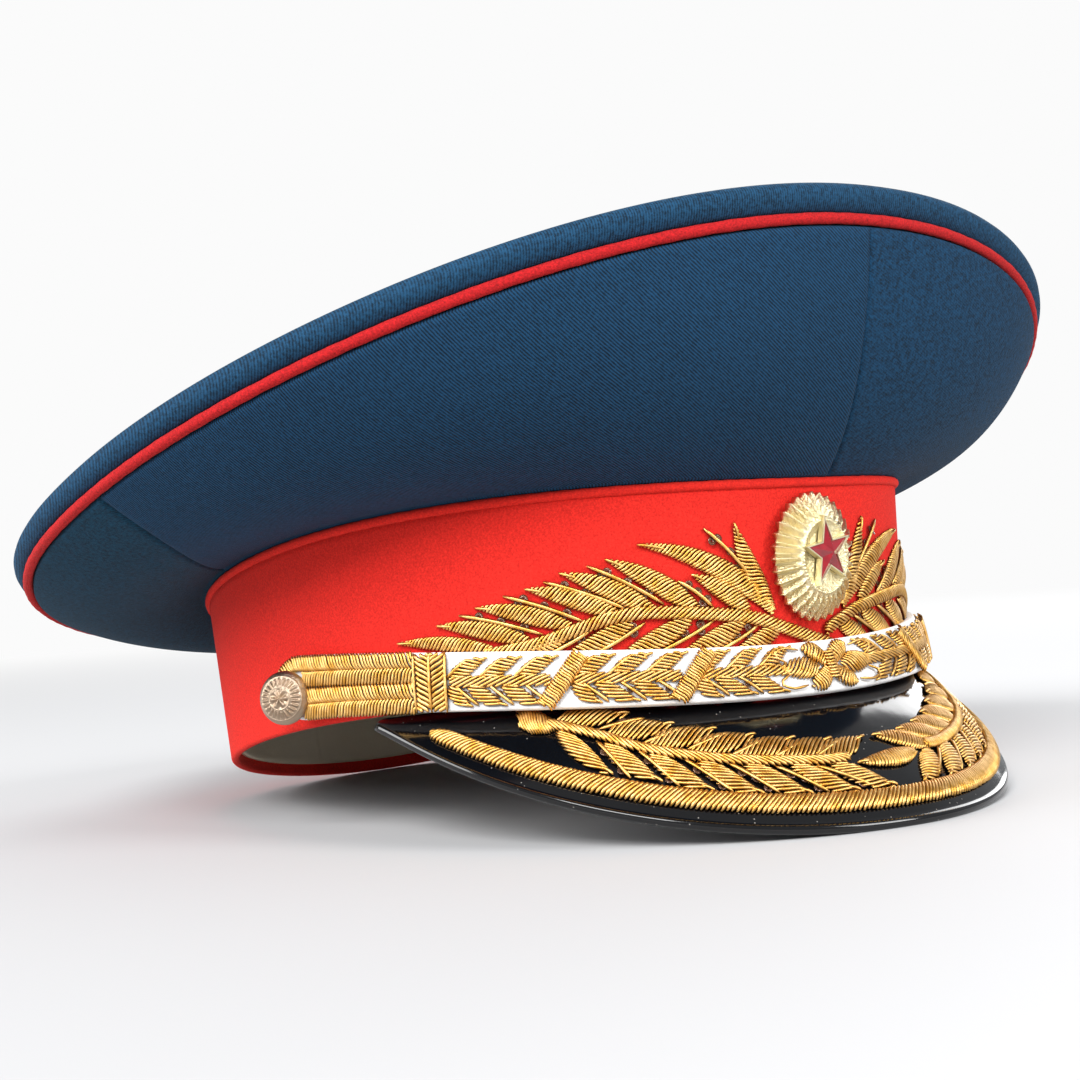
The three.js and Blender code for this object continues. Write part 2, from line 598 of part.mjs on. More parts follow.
add('crown_top', crownTop(), 'twill');
add('crown_side_right', crownPanel(frontSeam(-1), sideSeam(-1, -1), STEPS.sidePanel), 'twill');
add('crown_side_left', crownPanel(frontSeam(1), sideSeam(1, -1), STEPS.sidePanel), 'twill');
const backSeam = sideSeam(1, 1);
const backEnd = { top: 360 - backSeam.top, bottom: 360 - backSeam.bottom };
add('crown_side_back', crownPanel(backSeam, backEnd, STEPS.backPanel), 'twill');
add('crown_piping', crownPiping(), 'felt');
add('band', wall(0, BAND_HEIGHT, 0, -BAND_WALL), 'felt');
add('band_piping', welt(), 'felt');
add('sweatband', sweatband(), 'lining');
add('peak', peakShell(), 'patent');
add('peak_border', peakBorder(), 'bullion');
add('peak_spray_right', peakSpray(-1, false), 'bullion');
add('peak_spray_left', peakSpray(1, true), 'bullion');
add('band_wreath_right', bandWreath(-1, STEM_START.right), 'bullion');
add('band_wreath_left', bandWreath(1, STEM_START.left), 'bullion');
add('chin_strap', chinStrap(), 'strap');
add('strap_laurel', strapLaurel(), 'bullion');
for (const [name, side] of [['right', -1], ['left', 1]]) {
  add(`strap_braid_${name}`, strapBraid(side), 'bullion');
  add(`strap_keeper_${name}`, strapKeeper(side), 'bullion');
  add(`button_${name}`, button(side), 'gilt');
}
add('cockade', cockade(), 'gilt');
add('cockade_star', star(), 'enamel');

cap.rotation.x = -rad(REST.tilt);
cap.position.set(0, REST.shift, REST.lift);
const visorCap = new THREE.Group();
visorCap.add(cap);
export default visorCap;
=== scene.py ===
import bmesh
import bpy
import numpy as np
from mathutils import Euler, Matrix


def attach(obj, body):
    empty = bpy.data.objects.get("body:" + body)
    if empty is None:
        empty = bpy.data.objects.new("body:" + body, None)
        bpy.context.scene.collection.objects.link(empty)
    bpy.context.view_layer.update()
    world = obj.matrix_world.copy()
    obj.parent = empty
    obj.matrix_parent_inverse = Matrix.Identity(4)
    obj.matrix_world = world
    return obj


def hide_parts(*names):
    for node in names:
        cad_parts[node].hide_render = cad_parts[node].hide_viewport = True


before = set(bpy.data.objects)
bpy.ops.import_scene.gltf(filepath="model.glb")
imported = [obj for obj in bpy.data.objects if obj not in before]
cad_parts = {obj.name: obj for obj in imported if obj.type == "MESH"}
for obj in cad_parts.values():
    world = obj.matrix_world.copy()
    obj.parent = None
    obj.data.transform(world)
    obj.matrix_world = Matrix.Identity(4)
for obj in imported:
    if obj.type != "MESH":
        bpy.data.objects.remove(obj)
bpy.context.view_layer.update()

# ---- The band ----
# The upright wall of the cap is bright red wool felt over a stiffener. Its lower edge is turned in, and
# a welt of the same felt is sewn along the top. It is cut as an oval that widens a little upward.

# The cap is drawn in its own frame, in millimetres: x to the wearer's left, -y forward, z up from the
# mean height of the band's lower edge. It rests tipped back, on the band's rear and the peak's front.
TIP, SHIFT, LIFT = np.radians(9.307), -0.62, 20.09
BAND_HEIGHT, BAND_WALL = 44.5, 2.2
BAND_LOW, BAND_HIGH, BAND_POWER = (98, 88), (103.5, 88.5), 2.17  # half length and half width
BAND_DIP, BAND_LEAN = 4.3, 3.5  # the dip of its edges at front and back; the upper oval lies forward
WELT_RADIUS = 1.15


def full_turn(count):
    """Angles evenly round a full turn, without its end."""
    return np.linspace(0, 2 * np.pi, count + 1)[:-1]


def vec(x, y, z):
    """Three coordinates that broadcast against each other, joined as points."""
    return np.stack(np.broadcast_arrays(x, y, z), -1).astype(float)


def unit(v):
    """v divided by its length."""
    return v / np.maximum(np.linalg.norm(v, axis=-1, keepdims=True), 1e-12)


def settle(points):
    """From the cap's own frame in mm to the table's in metres: turned about X by TIP, then moved."""
    x, y, z = np.moveaxis(np.asarray(points, float), -1, 0)
    c, s = np.cos(TIP), np.sin(TIP)
    return np.stack([x, y * c + z * s + SHIFT, z * c - y * s + LIFT], -1) / 1000


def oval(a, length, width, power):
    """A superellipse at angle a from the front: |x/width|^power + |y/length|^power = 1 along that ray."""
    reach = (np.abs(np.cos(a)) ** power + np.abs(np.sin(a)) ** power) ** (-1 / power)
    return width * np.sin(a) * reach, -length * np.cos(a) * reach


def outward(a):
    """The level direction square to the band at angle a."""
    return unit(vec(np.sin(a) / BAND_LOW[1], -np.cos(a) / BAND_LOW[0], 0 * a))


def on_band(a, height, off=0.0):
    """A point on the band: straight between its lower and upper ovals, moved outward by `off`.
    The whole dips at front and back by the cosine of twice the angle."""
    a, height, off = np.broadcast_arrays(a, height, off)
    k = height / BAND_HEIGHT
    low_x, low_y = oval(a, *BAND_LOW, BAND_POWER)
    high_x, high_y = oval(a, *BAND_HIGH, BAND_POWER)
    x, y = low_x + (high_x - low_x) * k, low_y + (high_y - BAND_LEAN - low_y) * k
    return vec(x, y, height - BAND_DIP * np.cos(2 * a)) + outward(a) * off[..., None]


def in_scene(name, data):
    """Puts an object with this data in the scene."""
    made = bpy.data.objects.new(name, data)
    bpy.context.scene.collection.objects.link(made)
    return made


def mesh_object(name, points, faces, uvs, smooth):
    """Points in the cap's frame and lists of faces as index arrays (faces, corners) make an object.
    If the whole has a negative volume, every face is turned round, so that faces look outward."""
    points = settle(points)
    volume = 0.0
    for f in faces:
        p = points[f]
        volume += np.einsum("ij,ikj->", p[:, 0], np.cross(p[:, 1:-1], p[:, 2:]))
    if volume < 0:
        faces, uvs = [f[:, ::-1] for f in faces], [u[:, ::-1] for u in uvs]
    sizes = np.concatenate([np.full(len(f), f.shape[1]) for f in faces])
    corners = np.concatenate([f.ravel() for f in faces]).astype(np.int32)
    mesh = bpy.data.meshes.new(name)
    mesh.vertices.add(len(points))
    mesh.vertices.foreach_set("co", points.astype(np.float32).ravel())
    mesh.loops.add(len(corners))
    mesh.polygons.add(len(sizes))
    mesh.polygons.foreach_set("loop_start", (np.cumsum(sizes) - sizes).astype(np.int32))
    mesh.polygons.foreach_set("vertices", corners)
    if uvs:
        layer = mesh.uv_layers.new(name="UVMap")
        layer.data.foreach_set("uv", np.concatenate([u.ravel() for u in uvs]).astype(np.float32))
    mesh.update(calc_edges=True)
    mesh.validate()
    mesh.polygons.foreach_set("use_smooth", np.full(len(mesh.polygons), smooth))
    return in_scene(name, mesh)


def sweep(name, grid, ring=True, uv=None, smooth=True):
    """One closed body, or many alike, from grids of points: i along the piece, j round its section. With
    ring, a piece also joins up along i; otherwise one face closes each end. uv has one column more than
    the grid, and with ring one more row, and is nought on the ends."""
    grid = grid.reshape(-1, *grid.shape[-3:])
    bodies, n, m = grid.shape[:3]
    c, i, j = np.meshgrid(np.arange(bodies), np.arange(n if ring else n - 1), np.arange(m), indexing="ij")
    corners = (i, j), (i, j + 1), (i + 1, j + 1), (i + 1, j)
    faces = [np.stack([(c * n + p % n) * m + q % m for p, q in corners], -1).reshape(-1, 4)]
    uvs = []
    if uv is not None:
        uv = uv.reshape(-1, *uv.shape[-3:])
        uvs = [np.stack([uv[c, p, q] for p, q in corners], 3).reshape(-1, 4, 2)]
    if not ring:
        start = np.arange(bodies)[:, None] * n * m
        faces.append(np.concatenate([start + np.arange(m)[::-1], start + (n - 1) * m + np.arange(m)]))
        if uvs:
            uvs.append(np.zeros((2 * bodies, m, 2)))
    return mesh_object(name, grid.reshape(-1, 3), faces, uvs, smooth)


def dress(made, finish, slot, *nodes):
    """Gives a piece its finish, ties it to the cap and lets it stand for its solids. `slot` is not used."""
    made.data.materials.append(finish)
    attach(made, "root")
    if nodes:
        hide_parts(*nodes)


def linear(hex_colour):
    """An sRGB colour as linear RGBA."""
    c = np.array([int(hex_colour[i:i + 2], 16) for i in (0, 2, 4)]) / 255
    return (*np.where(c <= 0.04045, c / 12.92, ((c + 0.055) / 1.055) ** 2.4), 1.0)


def adder(tree):
    """Empties a tree and gives the function that adds nodes to it."""
    def add(kind, settings=None, out=0, **inputs):
        """Adds a node and gives its output `out`. settings are its properties. inputs go to sockets by
        name (a space as _) or as s0, s1... by number: an output is linked, text is an sRGB colour."""
        made = tree.nodes.new("ShaderNode" + kind)
        for key, value in (settings or {}).items():
            setattr(made, key, value)
        for key, value in inputs.items():
            socket = made.inputs[int(key[1:]) if key[1:].isdigit() else key.replace("_", " ")]
            if isinstance(value, bpy.types.NodeSocket):
                tree.links.new(value, socket)
            else:
                socket.default_value = linear(value) if isinstance(value, str) else value
        return made.outputs[out] if len(made.outputs) else made

    tree.nodes.clear()
    return add


def material(name, recipe, *values):
    """A node material. Its recipe adds the nodes, from the piece's own coordinates in metres and the
    values, and gives the shader."""
    made = bpy.data.materials.new(name)
    made.use_nodes = True
    add = adder(made.node_tree)
    add("OutputMaterial", Surface=recipe(add, add("TexCoord", out="Object"), *values))
    return made


COLOURS = {"data_type": "RGBA"}
TIMES_PLUS = {"operation": "MULTIPLY_ADD"}


def wool_felt(add, place, dark, light):
    """Milled wool felt: matt, with a nap of short fibres half a millimetre long and a little wear every
    two centimetres. It gives a fine speckle with soft light edges."""
    nap = add("TexNoise", Vector=place, Scale=2100.0, Detail=4.0, Roughness=0.7)
    wear = add("TexNoise", Vector=place, Scale=45.0, Detail=3.0)
    tone = add("MapRange", Value=nap, From_Min=0.3, From_Max=0.7)
    shade = add("Math", TIMES_PLUS, s0=wear, s1=0.1, s2=tone)
    colour = add("Mix", COLOURS, 2, s0=shade, s6=dark, s7=light)
    bump = add("Bump", Height=nap, Strength=0.45, Distance=0.0004)
    return add("BsdfPrincipled", Base_Color=colour, Roughness=0.92, Sheen_Weight=0.08,
               Sheen_Roughness=0.45, Sheen_Tint="ff7a60", Specular_IOR_Level=0.25, Normal=bump)


RED_FELT = material("red milled wool felt", wool_felt, "b4130f", "ea2e22")

around = full_turn(360)[:, None]
turn = np.linspace(-np.pi, 0, 9)
edge = BAND_WALL / 2
upright = np.linspace(edge + 1, BAND_HEIGHT, 24)
off = np.concatenate([edge * np.cos(turn) - edge, 0 * upright, 0 * upright - BAND_WALL])
rise = np.concatenate([edge + edge * np.sin(turn), upright, upright[::-1]])
dress(sweep("band_felt", on_band(around, rise[None], off[None])), RED_FELT, "felt", "band")


def round_section(paths, ahead, ups, radius, sides):
    """Rings of points round paths: each is the path's point plus radius times (cos, sin) in the plane
    square to `ahead`, whose second axis lies toward `ups`."""
    side = unit(np.cross(ups, ahead))
    up = np.cross(ahead, side)
    q = full_turn(sides)[:, None]
    spoke = side[..., None, :] * np.cos(q) + up[..., None, :] * np.sin(q)
    return paths[..., None, :] + radius[..., None, None] * spoke


def rope(name, centre, radius):
    """A closed cord along a centre line given by angle, slightly uneven under its felt."""
    a = full_turn(480)
    ahead = unit(centre(a + 0.001) - centre(a - 0.001))
    uneven = 1 + 0.03 * np.sin(61 * a) * np.sin(17 * a + 1) + 0.035 * np.sin(139 * a + 2 * np.sin(9 * a))
    return sweep(name, round_section(centre(a), ahead, vec(0, 0, 1), radius * uneven, 12))


welt = rope("band_welt", lambda a: on_band(a, BAND_HEIGHT + WELT_RADIUS - 0.3, -0.1), WELT_RADIUS)
dress(welt, RED_FELT, "felt", "band_piping")

# ---- The sweatband ----
# A strip of beige leather stands inside the band, its ends lapped at one place and sewn down.
# Its lower edge lies a few millimetres above the band's hem.
LAP = np.radians(198)
SWEATBAND_LOW, SWEATBAND_TOP, SWEATBAND_WALL = 3.5, 34, 1.2
a = full_turn(720)[:, None]
upright = np.linspace(SWEATBAND_LOW, SWEATBAND_TOP, 20)
height = np.concatenate([upright, upright[::-1]])[None]
inner = np.concatenate([0 * upright, 0 * upright + SWEATBAND_WALL])[None]
# Just past LAP the leather is half as thick again, and it thins to a single layer in some 20 mm.
lap = 0.25 * (1 + np.tanh((a - LAP) * 300)) * np.exp(-np.clip(a - LAP, 0, None) * 9)
leather_strip = sweep("sweatband_leather", on_band(a, height, -BAND_WALL - 0.1 - inner * (1 + lap)))


def leather(add, place, dark, light):
    """Thin dressed sheepskin: smooth with a grain of about a millimetre and a low sheen."""
    grain = add("TexVoronoi", Vector=place, Scale=900.0)
    cloud = add("TexNoise", Vector=place, Scale=30.0, Detail=4.0)
    colour = add("Mix", COLOURS, 2, s0=cloud, s6=dark, s7=light)
    bump = add("Bump", Height=grain, Strength=0.15, Distance=0.0003)
    return add("BsdfPrincipled", Base_Color=colour, Roughness=0.42, Normal=bump)


# The beige is set lighter than the leather's own: painted light, for the shade it sits in inside the band.
dress(leather_strip, material("beige sheepskin, lightened as painted light", leather, "d0c3a4", "ebe0c6"), "lining", "sweatband")

# ---- The crown's sides ----
# Three shaped panels of dark teal wool twill flare from the band to the piping. They meet in a seam
# at the front and one behind each temple, and each is cut with its twill at its own slant. Each panel
# has its own lighter or darker copy of the cloth's colours, as painted light and shade.
CROWN_WALL, CROWN_BULGE = 1.8, 6.5
CROWN_OVAL, CROWN_POWER, CROWN_SHIFT = (136, 141), 2.12, -8.3
PIPING_RADIUS = 1.3
SLANT, CONE_RADIUS, CONE_SPREAD = 62, 125, 0.74  # a panel laid flat: its depth, and the cone it lies on


def rear_share(a):
    """1 behind and falling off quickly to the sides: ((1 - cos a) / 2)^3."""
    return ((1 - np.cos(a)) / 2) ** 3


def piping_height(a, reach=1.0):
    """Height of the piping's ring: a tilt, a saddle and a peak, as cosines of one, two and three turns,
    and a lift of the rear end."""
    waves = 26.5 * reach * np.cos(a) + 2.3 * reach ** 2 * np.cos(2 * a) + 1.8 * reach ** 3 * np.cos(3 * a)
    return 62 + waves + 8.0 * reach ** 4 * rear_share(a)


def on_crown(a, off=0.0, rise=0.0, reach=1.0):
    """A point on the piping's oval, moved out by `off` and up by `rise`, drawn in by `reach`."""
    length, width = (half * (1 + off / CROWN_OVAL[1]) * reach for half in CROWN_OVAL)
    x, y = oval(a, length, width, CROWN_POWER)
    return vec(x, y + CROWN_SHIFT, piping_height(a, reach) + rise)


def face_of(run, out):
    """The direction square to a slope that climbs along `run` and leans toward `out`."""
    level = np.einsum("...i,...i->...", run, out)
    return unit(out * run[..., 2:] + vec(0, 0, 1) * -level[..., None])


def crown_side(a, k, depth=0.0):
    """The panels' outside from k = 0 at the band to 1 at the piping, moved in by `depth`:
    a straight slope plus a parabola that bellies outward, less at the back."""
    out = outward(a)
    bulge = CROWN_BULGE * (1 - 0.4 * rear_share(a))
    low = on_band(a, BAND_HEIGHT + 2.4, 1.3)
    whole = on_crown(a) - low
    arrive = unit(whole - 4 * bulge[..., None] * face_of(whole, out))
    high = on_crown(a) - arrive * (PIPING_RADIUS + 0.7) + face_of(arrive, out) * (CROWN_WALL / 2)
    run = high - low
    belly = 4 * k * (1 - k) * bulge - depth
    return low + run * k[..., None] + face_of(run, out) * belly[..., None]


def crown_panel(name, first, last, steps, middle):
    """A panel between two seams, each given by its angles at band and piping in degrees. Its section
    runs up the outside, over the edge and down the inside. The map is the panel laid flat: a cone
    unrolled, so that the twill's lines stay straight on it. The seams run nearly upright and swing
    back toward the band as (1 - k)^2.5. The cloth dips by 0.35 mm within 0.7 mm of a seam."""
    part = np.linspace(0, 1, steps)[:, None]
    rows = np.linspace(0, 1, 40)
    low, high = (first[end] + (last[end] - first[end]) * part for end in (0, 1))

    def angle(k):
        return np.radians(high + (low - high) * (1 - k) ** 2.5)

    rows_all = rows[None] + 0 * part
    from_seam = np.minimum(part, 1 - part) * np.radians(abs(last[1] - first[1])) * 138
    fold = 0.35 * np.exp(-(from_seam / 0.7) ** 2) + 0 * rows_all
    outside = crown_side(angle(rows_all), rows_all, fold)
    inside = crown_side(angle(rows_all), rows_all, CROWN_WALL + 0 * rows_all)[:, ::-1]
    lip = np.array([[-1.5, 0.2], [-1.5, 1.2], [-0.6, 2.0], [0.7, 2.1]])
    ends = [on_band(angle(0.0), BAND_HEIGHT + side[None, :, 1], side[None, :, 0])
            for side in (lip, lip[::-1] + [-CROWN_WALL, 0.4])]
    grid = np.concatenate([ends[0], outside, inside, ends[1]], 1)
    k = np.concatenate([np.zeros(4), rows, rows[::-1], np.zeros(4), np.zeros(1)])[None]
    spread = (angle(k) - np.radians(middle)) * CONE_SPREAD
    slant = (CONE_RADIUS + SLANT * k) / 1000
    return sweep(name, grid, ring=False, uv=np.stack([slant * np.sin(spread), slant * np.cos(spread)], -1))


def wool_twill(add, place, turn, depth, dark, light):
    """Fine wool twill: raised diagonal ribs with dark furrows, a low sheen and a little loose fibre. The
    ribs are 0.62 mm apart, coarser than the cloth's own, so that they show. `turn` slants them on the
    panel, and `depth` says how clearly they stand out from the fibres, which are a millimetre long."""
    flat = add("TexCoord", out="UV")
    slanted = add("Mapping", Vector=flat, Rotation=(0, 0, np.radians(turn)))
    ribs = add("TexWave", out=1, Vector=slanted, Scale=0.314 / 0.00062, Distortion=1.4, Detail=2.0,
               Detail_Scale=0.5)
    fibre = add("TexNoise", Vector=place, Scale=1050.0, Detail=5.0, Roughness=0.8)
    cloud = add("TexNoise", Vector=place, Scale=28.0, Detail=3.0)
    weave = add("Math", TIMES_PLUS, s0=ribs, s1=depth, s2=fibre)
    tone = add("MapRange", Value=weave, From_Min=0.4 + 0.25 * depth, From_Max=0.6 + 0.75 * depth)
    shade = add("Math", TIMES_PLUS, s0=cloud, s1=0.2, s2=tone)
    colour = add("Mix", COLOURS, 2, s0=shade, s6=dark, s7=light)
    bump = add("Bump", Height=weave, Strength=0.5, Distance=0.0004)
    return add("BsdfPrincipled", Base_Color=colour, Roughness=0.85, Sheen_Weight=0.02,
               Sheen_Roughness=0.4, Sheen_Tint="9fc0d8", Specular_IOR_Level=0.2, Normal=bump)


FRONT_SEAM, LEFT_SEAM, RIGHT_SEAM = (5, -1.3), (103, 83.5), (-103, -83.5)
# The back panel ends at the right seam, whose angles plus a full turn are 257 and 276.5.
# The colour pairs below are copies of one cloth's colours, made lighter or darker as painted light and
# shade. The back panel's is the darkest.
for name, first, last, steps, middle, ribs, *twill in (
        ("right", FRONT_SEAM, RIGHT_SEAM, 160, -41, "ribs steep", -25, 0.45, "03111b", "133f60"),
        ("left", FRONT_SEAM, LEFT_SEAM, 160, 41, "ribs upright", 85, 0.08, "03121d", "0f3c5c"),
        ("back", LEFT_SEAM, (257, 276.5), 260, 180, "ribs aslant", 45, 0.15, "02141d", "053a53")):
    panel = crown_panel(f"crown_side_{name}_twill", first, last, steps, middle)
    dress(panel, material(f"teal wool twill, {ribs}", wool_twill, *twill), "twill", f"crown_side_{name}")

# ---- The piping ----
# A round cord is covered in red felt, coloured darker than the band's: partly a deeper red felt, partly
# painted shade. It is sewn all the way round into the seam between the crown's sides and its top.
piping = rope("crown_piping_felt", on_crown, PIPING_RADIUS)
# The piping's darker colours are partly painted shade.
dress(piping, material("red piping felt, partly painted shade", wool_felt, "720a0e", "c81c20"), "felt", "crown_piping")

# ---- The crown's top ----
# One oval of the twill is stretched over a wire hoop, so its edge rolls over just above the piping
# and the middle sinks slightly.
TOP_RISE, TOP_WALL, TOP_DISH, DISH_REACH = 9.3, 1.8, 1.5, 0.76
# The rolled edge from the flat top down to the piping: distance out from the oval and height above it.
ROLL = np.array([[-30, 9.3], [-18, 9.35], [-9, 9.4], [-5, 9.35], [-2.5, 9.05], [-0.6, 8.45], [0.8, 7.8],
                 [1.9, 6.95], [2.6, 6], [3, 5], [2.95, 4], [2.5, 3], [1.6, 2.1], [0.6, 1.55], [-0.6, 1.4]])
UNDER = np.array([[-1.6, 1.6], [-1.6, 5.5], [-9, 7.5]])
reach = np.linspace(0, DISH_REACH, 24)[None]
sink = TOP_DISH * (1 - (reach / DISH_REACH) ** 2)
dish, under_dish = (on_crown(around, 0.0, rise - sink, reach) for rise in (TOP_RISE, TOP_RISE - TOP_WALL))
rim, under = (on_crown(around, 0.0, edge[None, :, 1], 1 + edge[None, :, 0] / CROWN_OVAL[1])
              for edge in (ROLL, UNDER))
section = np.concatenate([dish, rim, under, under_dish[:, ::-1]], 1)
flat = np.pad(section[..., :2], ((0, 1), (0, 1), (0, 0)), mode="wrap") / 1000


def weld(made):
    """Joins the points that share one place, so a ring drawn in to nothing becomes a closed pole."""
    work = bmesh.new()
    work.from_mesh(made.data)
    bmesh.ops.remove_doubles(work, verts=work.verts, dist=1e-7)
    work.to_mesh(made.data)
    work.free()
    return made


# The top's colours are a lighter copy of the sides': painted light on the face turned up.
dress(weld(sweep("crown_top_twill", section, uv=flat)),
      material("teal wool twill, top", wool_twill, 20, 0.18, "051623", "1a4666"), "twill", "crown_top")

# ---- The peak ----
# The peak is moulded board covered in black patent leather, with a rounded rim. It arches across and
# slopes down in front, and its ends run back along the band.
PEAK_WALL, PEAK_EDGE = 2.2, 1.1
PEAK_HALF, PEAK_FRONT, PEAK_DEPTH = 86, -130, 90  # half width, foremost place and depth in plan
RIM_LOW, RIM_CLIMB = -40.5, 42  # the rim's height in front, and its climb to the ends
PEAK_SPREAD = 68 / 90  # where the rim has turned by 90 degrees, the root lies at 68 on the band


def peak_rim(t):
    """The rim, from -90 to 90 degrees: a half ellipse in plan that climbs toward its ends."""
    turned = 1 - np.cos(t)
    return vec(PEAK_HALF * np.sin(t), PEAK_FRONT + PEAK_DEPTH * turned ** 0.9,
               RIM_LOW + RIM_CLIMB * turned ** 1.15)


def peak_across(t):
    """From the rim to the peak's root, which lies just inside the band."""
    return on_band(t * PEAK_SPREAD, -0.5, -1.5) - peak_rim(t)


def on_peak(t, inset, off=0.0):
    """A point on the peak, `inset` mm in from the rim: on the line to the band, arched by a parabola."""
    t, inset, off = np.broadcast_arrays(t, inset, off)
    across = peak_across(t)
    length = np.linalg.norm(across, axis=-1)
    k = inset / length
    arch = (4 * k * (1 - k) * 0.037 * length)[..., None] * np.array([0, -0.6, 0.8])
    ahead = unit(peak_rim(t + 0.01) - peak_rim(t - 0.01))
    up = unit(np.cross(across, ahead))
    up = np.where(up[..., 2:] < 0, -up, up)
    return peak_rim(t) + across * k[..., None] + arch + up * off[..., None]


t = np.radians(np.linspace(-90, 90, 241))[:, None]
bead = np.linspace(-np.pi / 2, np.pi / 2, 11)[None]
inset = PEAK_EDGE + (np.linalg.norm(peak_across(t), axis=-1) - PEAK_EDGE) * np.linspace(0, 1, 40)[None]
rim_face = on_peak(t, PEAK_WALL / 2 * (1 - np.cos(bead)), PEAK_WALL / 2 * (np.sin(bead) - 1))
shell = np.concatenate([on_peak(t, inset)[:, ::-1], rim_face[:, ::-1], on_peak(t, inset, -PEAK_WALL)], 1)


def patent_leather(add, place, colour):
    """Patent leather: black hide under a thick clear lacquer. The lacquer is mirror smooth with a faint
    ripple 14 mm long, and carries a few specks of dust of 0.2 mm."""
    ripple = add("TexNoise", Vector=place, Scale=70.0, Detail=2.0)
    dust = add("TexVoronoi", Vector=place, Scale=420.0)
    speck = add("MapRange", Value=dust, From_Min=0.05, From_Max=0.08, To_Min=1.0, To_Max=0.0)
    toned = add("Mix", COLOURS, 2, s0=speck, s6=colour, s7="7a7670")
    bump = add("Bump", Height=ripple, Strength=0.05, Distance=0.002)
    rough = add("MapRange", Value=speck, To_Min=0.1, To_Max=0.6)
    return add("BsdfPrincipled", Base_Color=toned, Roughness=rough, Normal=bump)


dress(sweep("peak_patent", shell, ring=False),
      material("black patent leather", patent_leather, "08080a"), "patent", "peak")

# ---- Gold wire embroidery ----
# Bullion is a fine gilt wire wound into a soft tube. Short lengths of it are laid side by side, aslant,
# over padding, so that each leaf, stem and border is a row of small rounded ribs.
WIRE = 0.375
wobble = np.random.default_rng(7)


def walk(points):
    """The distance along paths of points, from their first."""
    return np.cumsum(np.linalg.norm(np.diff(points, axis=-2, prepend=points[..., :1, :]), axis=-1), -1)


def measured(dense):
    """A line as its dense places, their directions and the distance along."""
    return dense, unit(np.gradient(dense, axis=0)), walk(dense)


def track(points, smooth=True):
    """A line through points in mm on a surface: straight runs or, when smooth, cubics through them."""
    points = np.asarray(points, float)
    n = len(points)
    s = np.linspace(0, n - 1, 24 * (n - 1) + 1)
    i = np.minimum(s.astype(int), n - 2)
    f = (s - i)[:, None]
    dense = points[i] + (points[i + 1] - points[i]) * f
    if smooth and n > 2:
        padded = np.concatenate([[2 * points[0] - points[1]], points, [2 * points[-1] - points[-2]]])
        p0, p1, p2, p3 = padded[i], padded[i + 1], padded[i + 2], padded[i + 3]
        dense = 0.5 * (2 * p1 + (p2 - p0) * f + (2 * p0 - 5 * p1 + 4 * p2 - p3) * f ** 2
                       + (3 * p1 - p0 - 3 * p2 + p3) * f ** 3)
    return measured(dense)


def bowed(start, end, bend):
    """A line from start to end, bowed sideways by `bend` mm in the middle."""
    start, end = np.array(start, float), np.array(end, float)
    k = np.linspace(0, 1, 25)[:, None]
    ahead = unit(end - start)
    return measured(start + (end - start) * k + np.array([-ahead[1], ahead[0]]) * (bend * 4 * k * (1 - k)))


def read(values, walked, at):
    """Both columns of `values` at distances along a line."""
    return [np.interp(at, walked, values[:, c]) for c in (0, 1)]


def laid(place, line, half, lean, pitch=0.74, pad=0.9, ground=0.15, wire=WIRE):
    """Wire laid across a padded strip. Each length crosses the line from edge to edge, moving `lean` mm
    along for each mm across, bent by 0.35 (u^3 - u) into a slight S, and rises over the padding as a
    half ellipse. half(k) is the strip's half width at the share k of its length."""
    dense, ahead, walked = line
    length = walked[-1]
    wide = half(np.linspace(0, 1, 50)).max()
    centres = np.arange(-abs(lean) * wide, length + abs(lean) * wide, pitch * np.hypot(1, lean))[:, None]
    centres = centres + wobble.normal(0, 0.05, centres.shape)
    v = np.linspace(-1, 1, 121)[None]
    along = centres + lean * wide * v
    inside = (along >= 0) & (along <= length) & (np.abs(v) * wide <= half(np.clip(along / length, 0, 1)))
    keep = inside.sum(1) >= 5
    centres, inside = centres[keep], inside[keep]
    low = v[0][inside.argmax(1)][:, None]
    high = v[0][120 - inside[:, ::-1].argmax(1)][:, None]
    u = np.linspace(-1, 1, 9)
    v = (low + high) / 2 + (high - low) / 2 * u + wobble.normal(0, 0.012, (len(low), 1))
    bend = np.sign(lean) * 0.35 * (high - low) / 2 * wide * (u ** 3 - u)
    along = np.clip(centres + lean * wide * v + bend, 0, length)
    across = v * wide
    edge = np.maximum(half(along / length), 0.3)
    swell = ground + pad * np.sqrt(np.clip(1 - (across / edge) ** 2, 0, 1)) * np.clip(edge / wide, 0.35, 1)
    at, to = read(dense, walked, along), read(ahead, walked, along)
    x, y = at[0] - to[1] * across, at[1] + to[0] * across
    paths = place(x, y, swell)
    return paths, unit(place(x, y, swell + 0.5) - paths), np.full(len(paths), wire)


def strand(place, line, radius=0.5, ground=0.45):
    """One bare length of wire laid along a line, with a slight rise in the middle."""
    dense, _, walked = line
    x, y = read(dense, walked, np.linspace(0, walked[-1], 9)[None])
    lift = ground + 0.5 * np.sin(np.linspace(0, np.pi, 9))[None] ** 0.7
    paths = place(x, y, lift)
    return paths, unit(place(x, y, lift + 0.5) - paths), np.full(1, radius)


def leaf_shape(width, base=0.35, full=0.38):
    """Half width of a leaf: a rounded base, fullest at the share `full`, then drawn out to a point."""
    def half(k):
        grow = base + (1 - base) * np.sin(np.clip(k / full, 0, 1) * np.pi / 2)
        fall = np.cos(np.clip((k - full) / (1 - full), 0, 1) * np.pi / 2) ** 0.75
        return width / 2 * np.where(k < full, grow, fall)
    return half


def even(width, round_ends=True):
    """Half width of a strip of even width, with rounded ends."""
    def half(k):
        near = np.minimum(k, 1 - k) / 0.02 if round_ends else np.ones_like(k)
        return width / 2 * np.sqrt(np.clip(near * (2 - np.minimum(near, 1)), 0.05, 1))
    return half


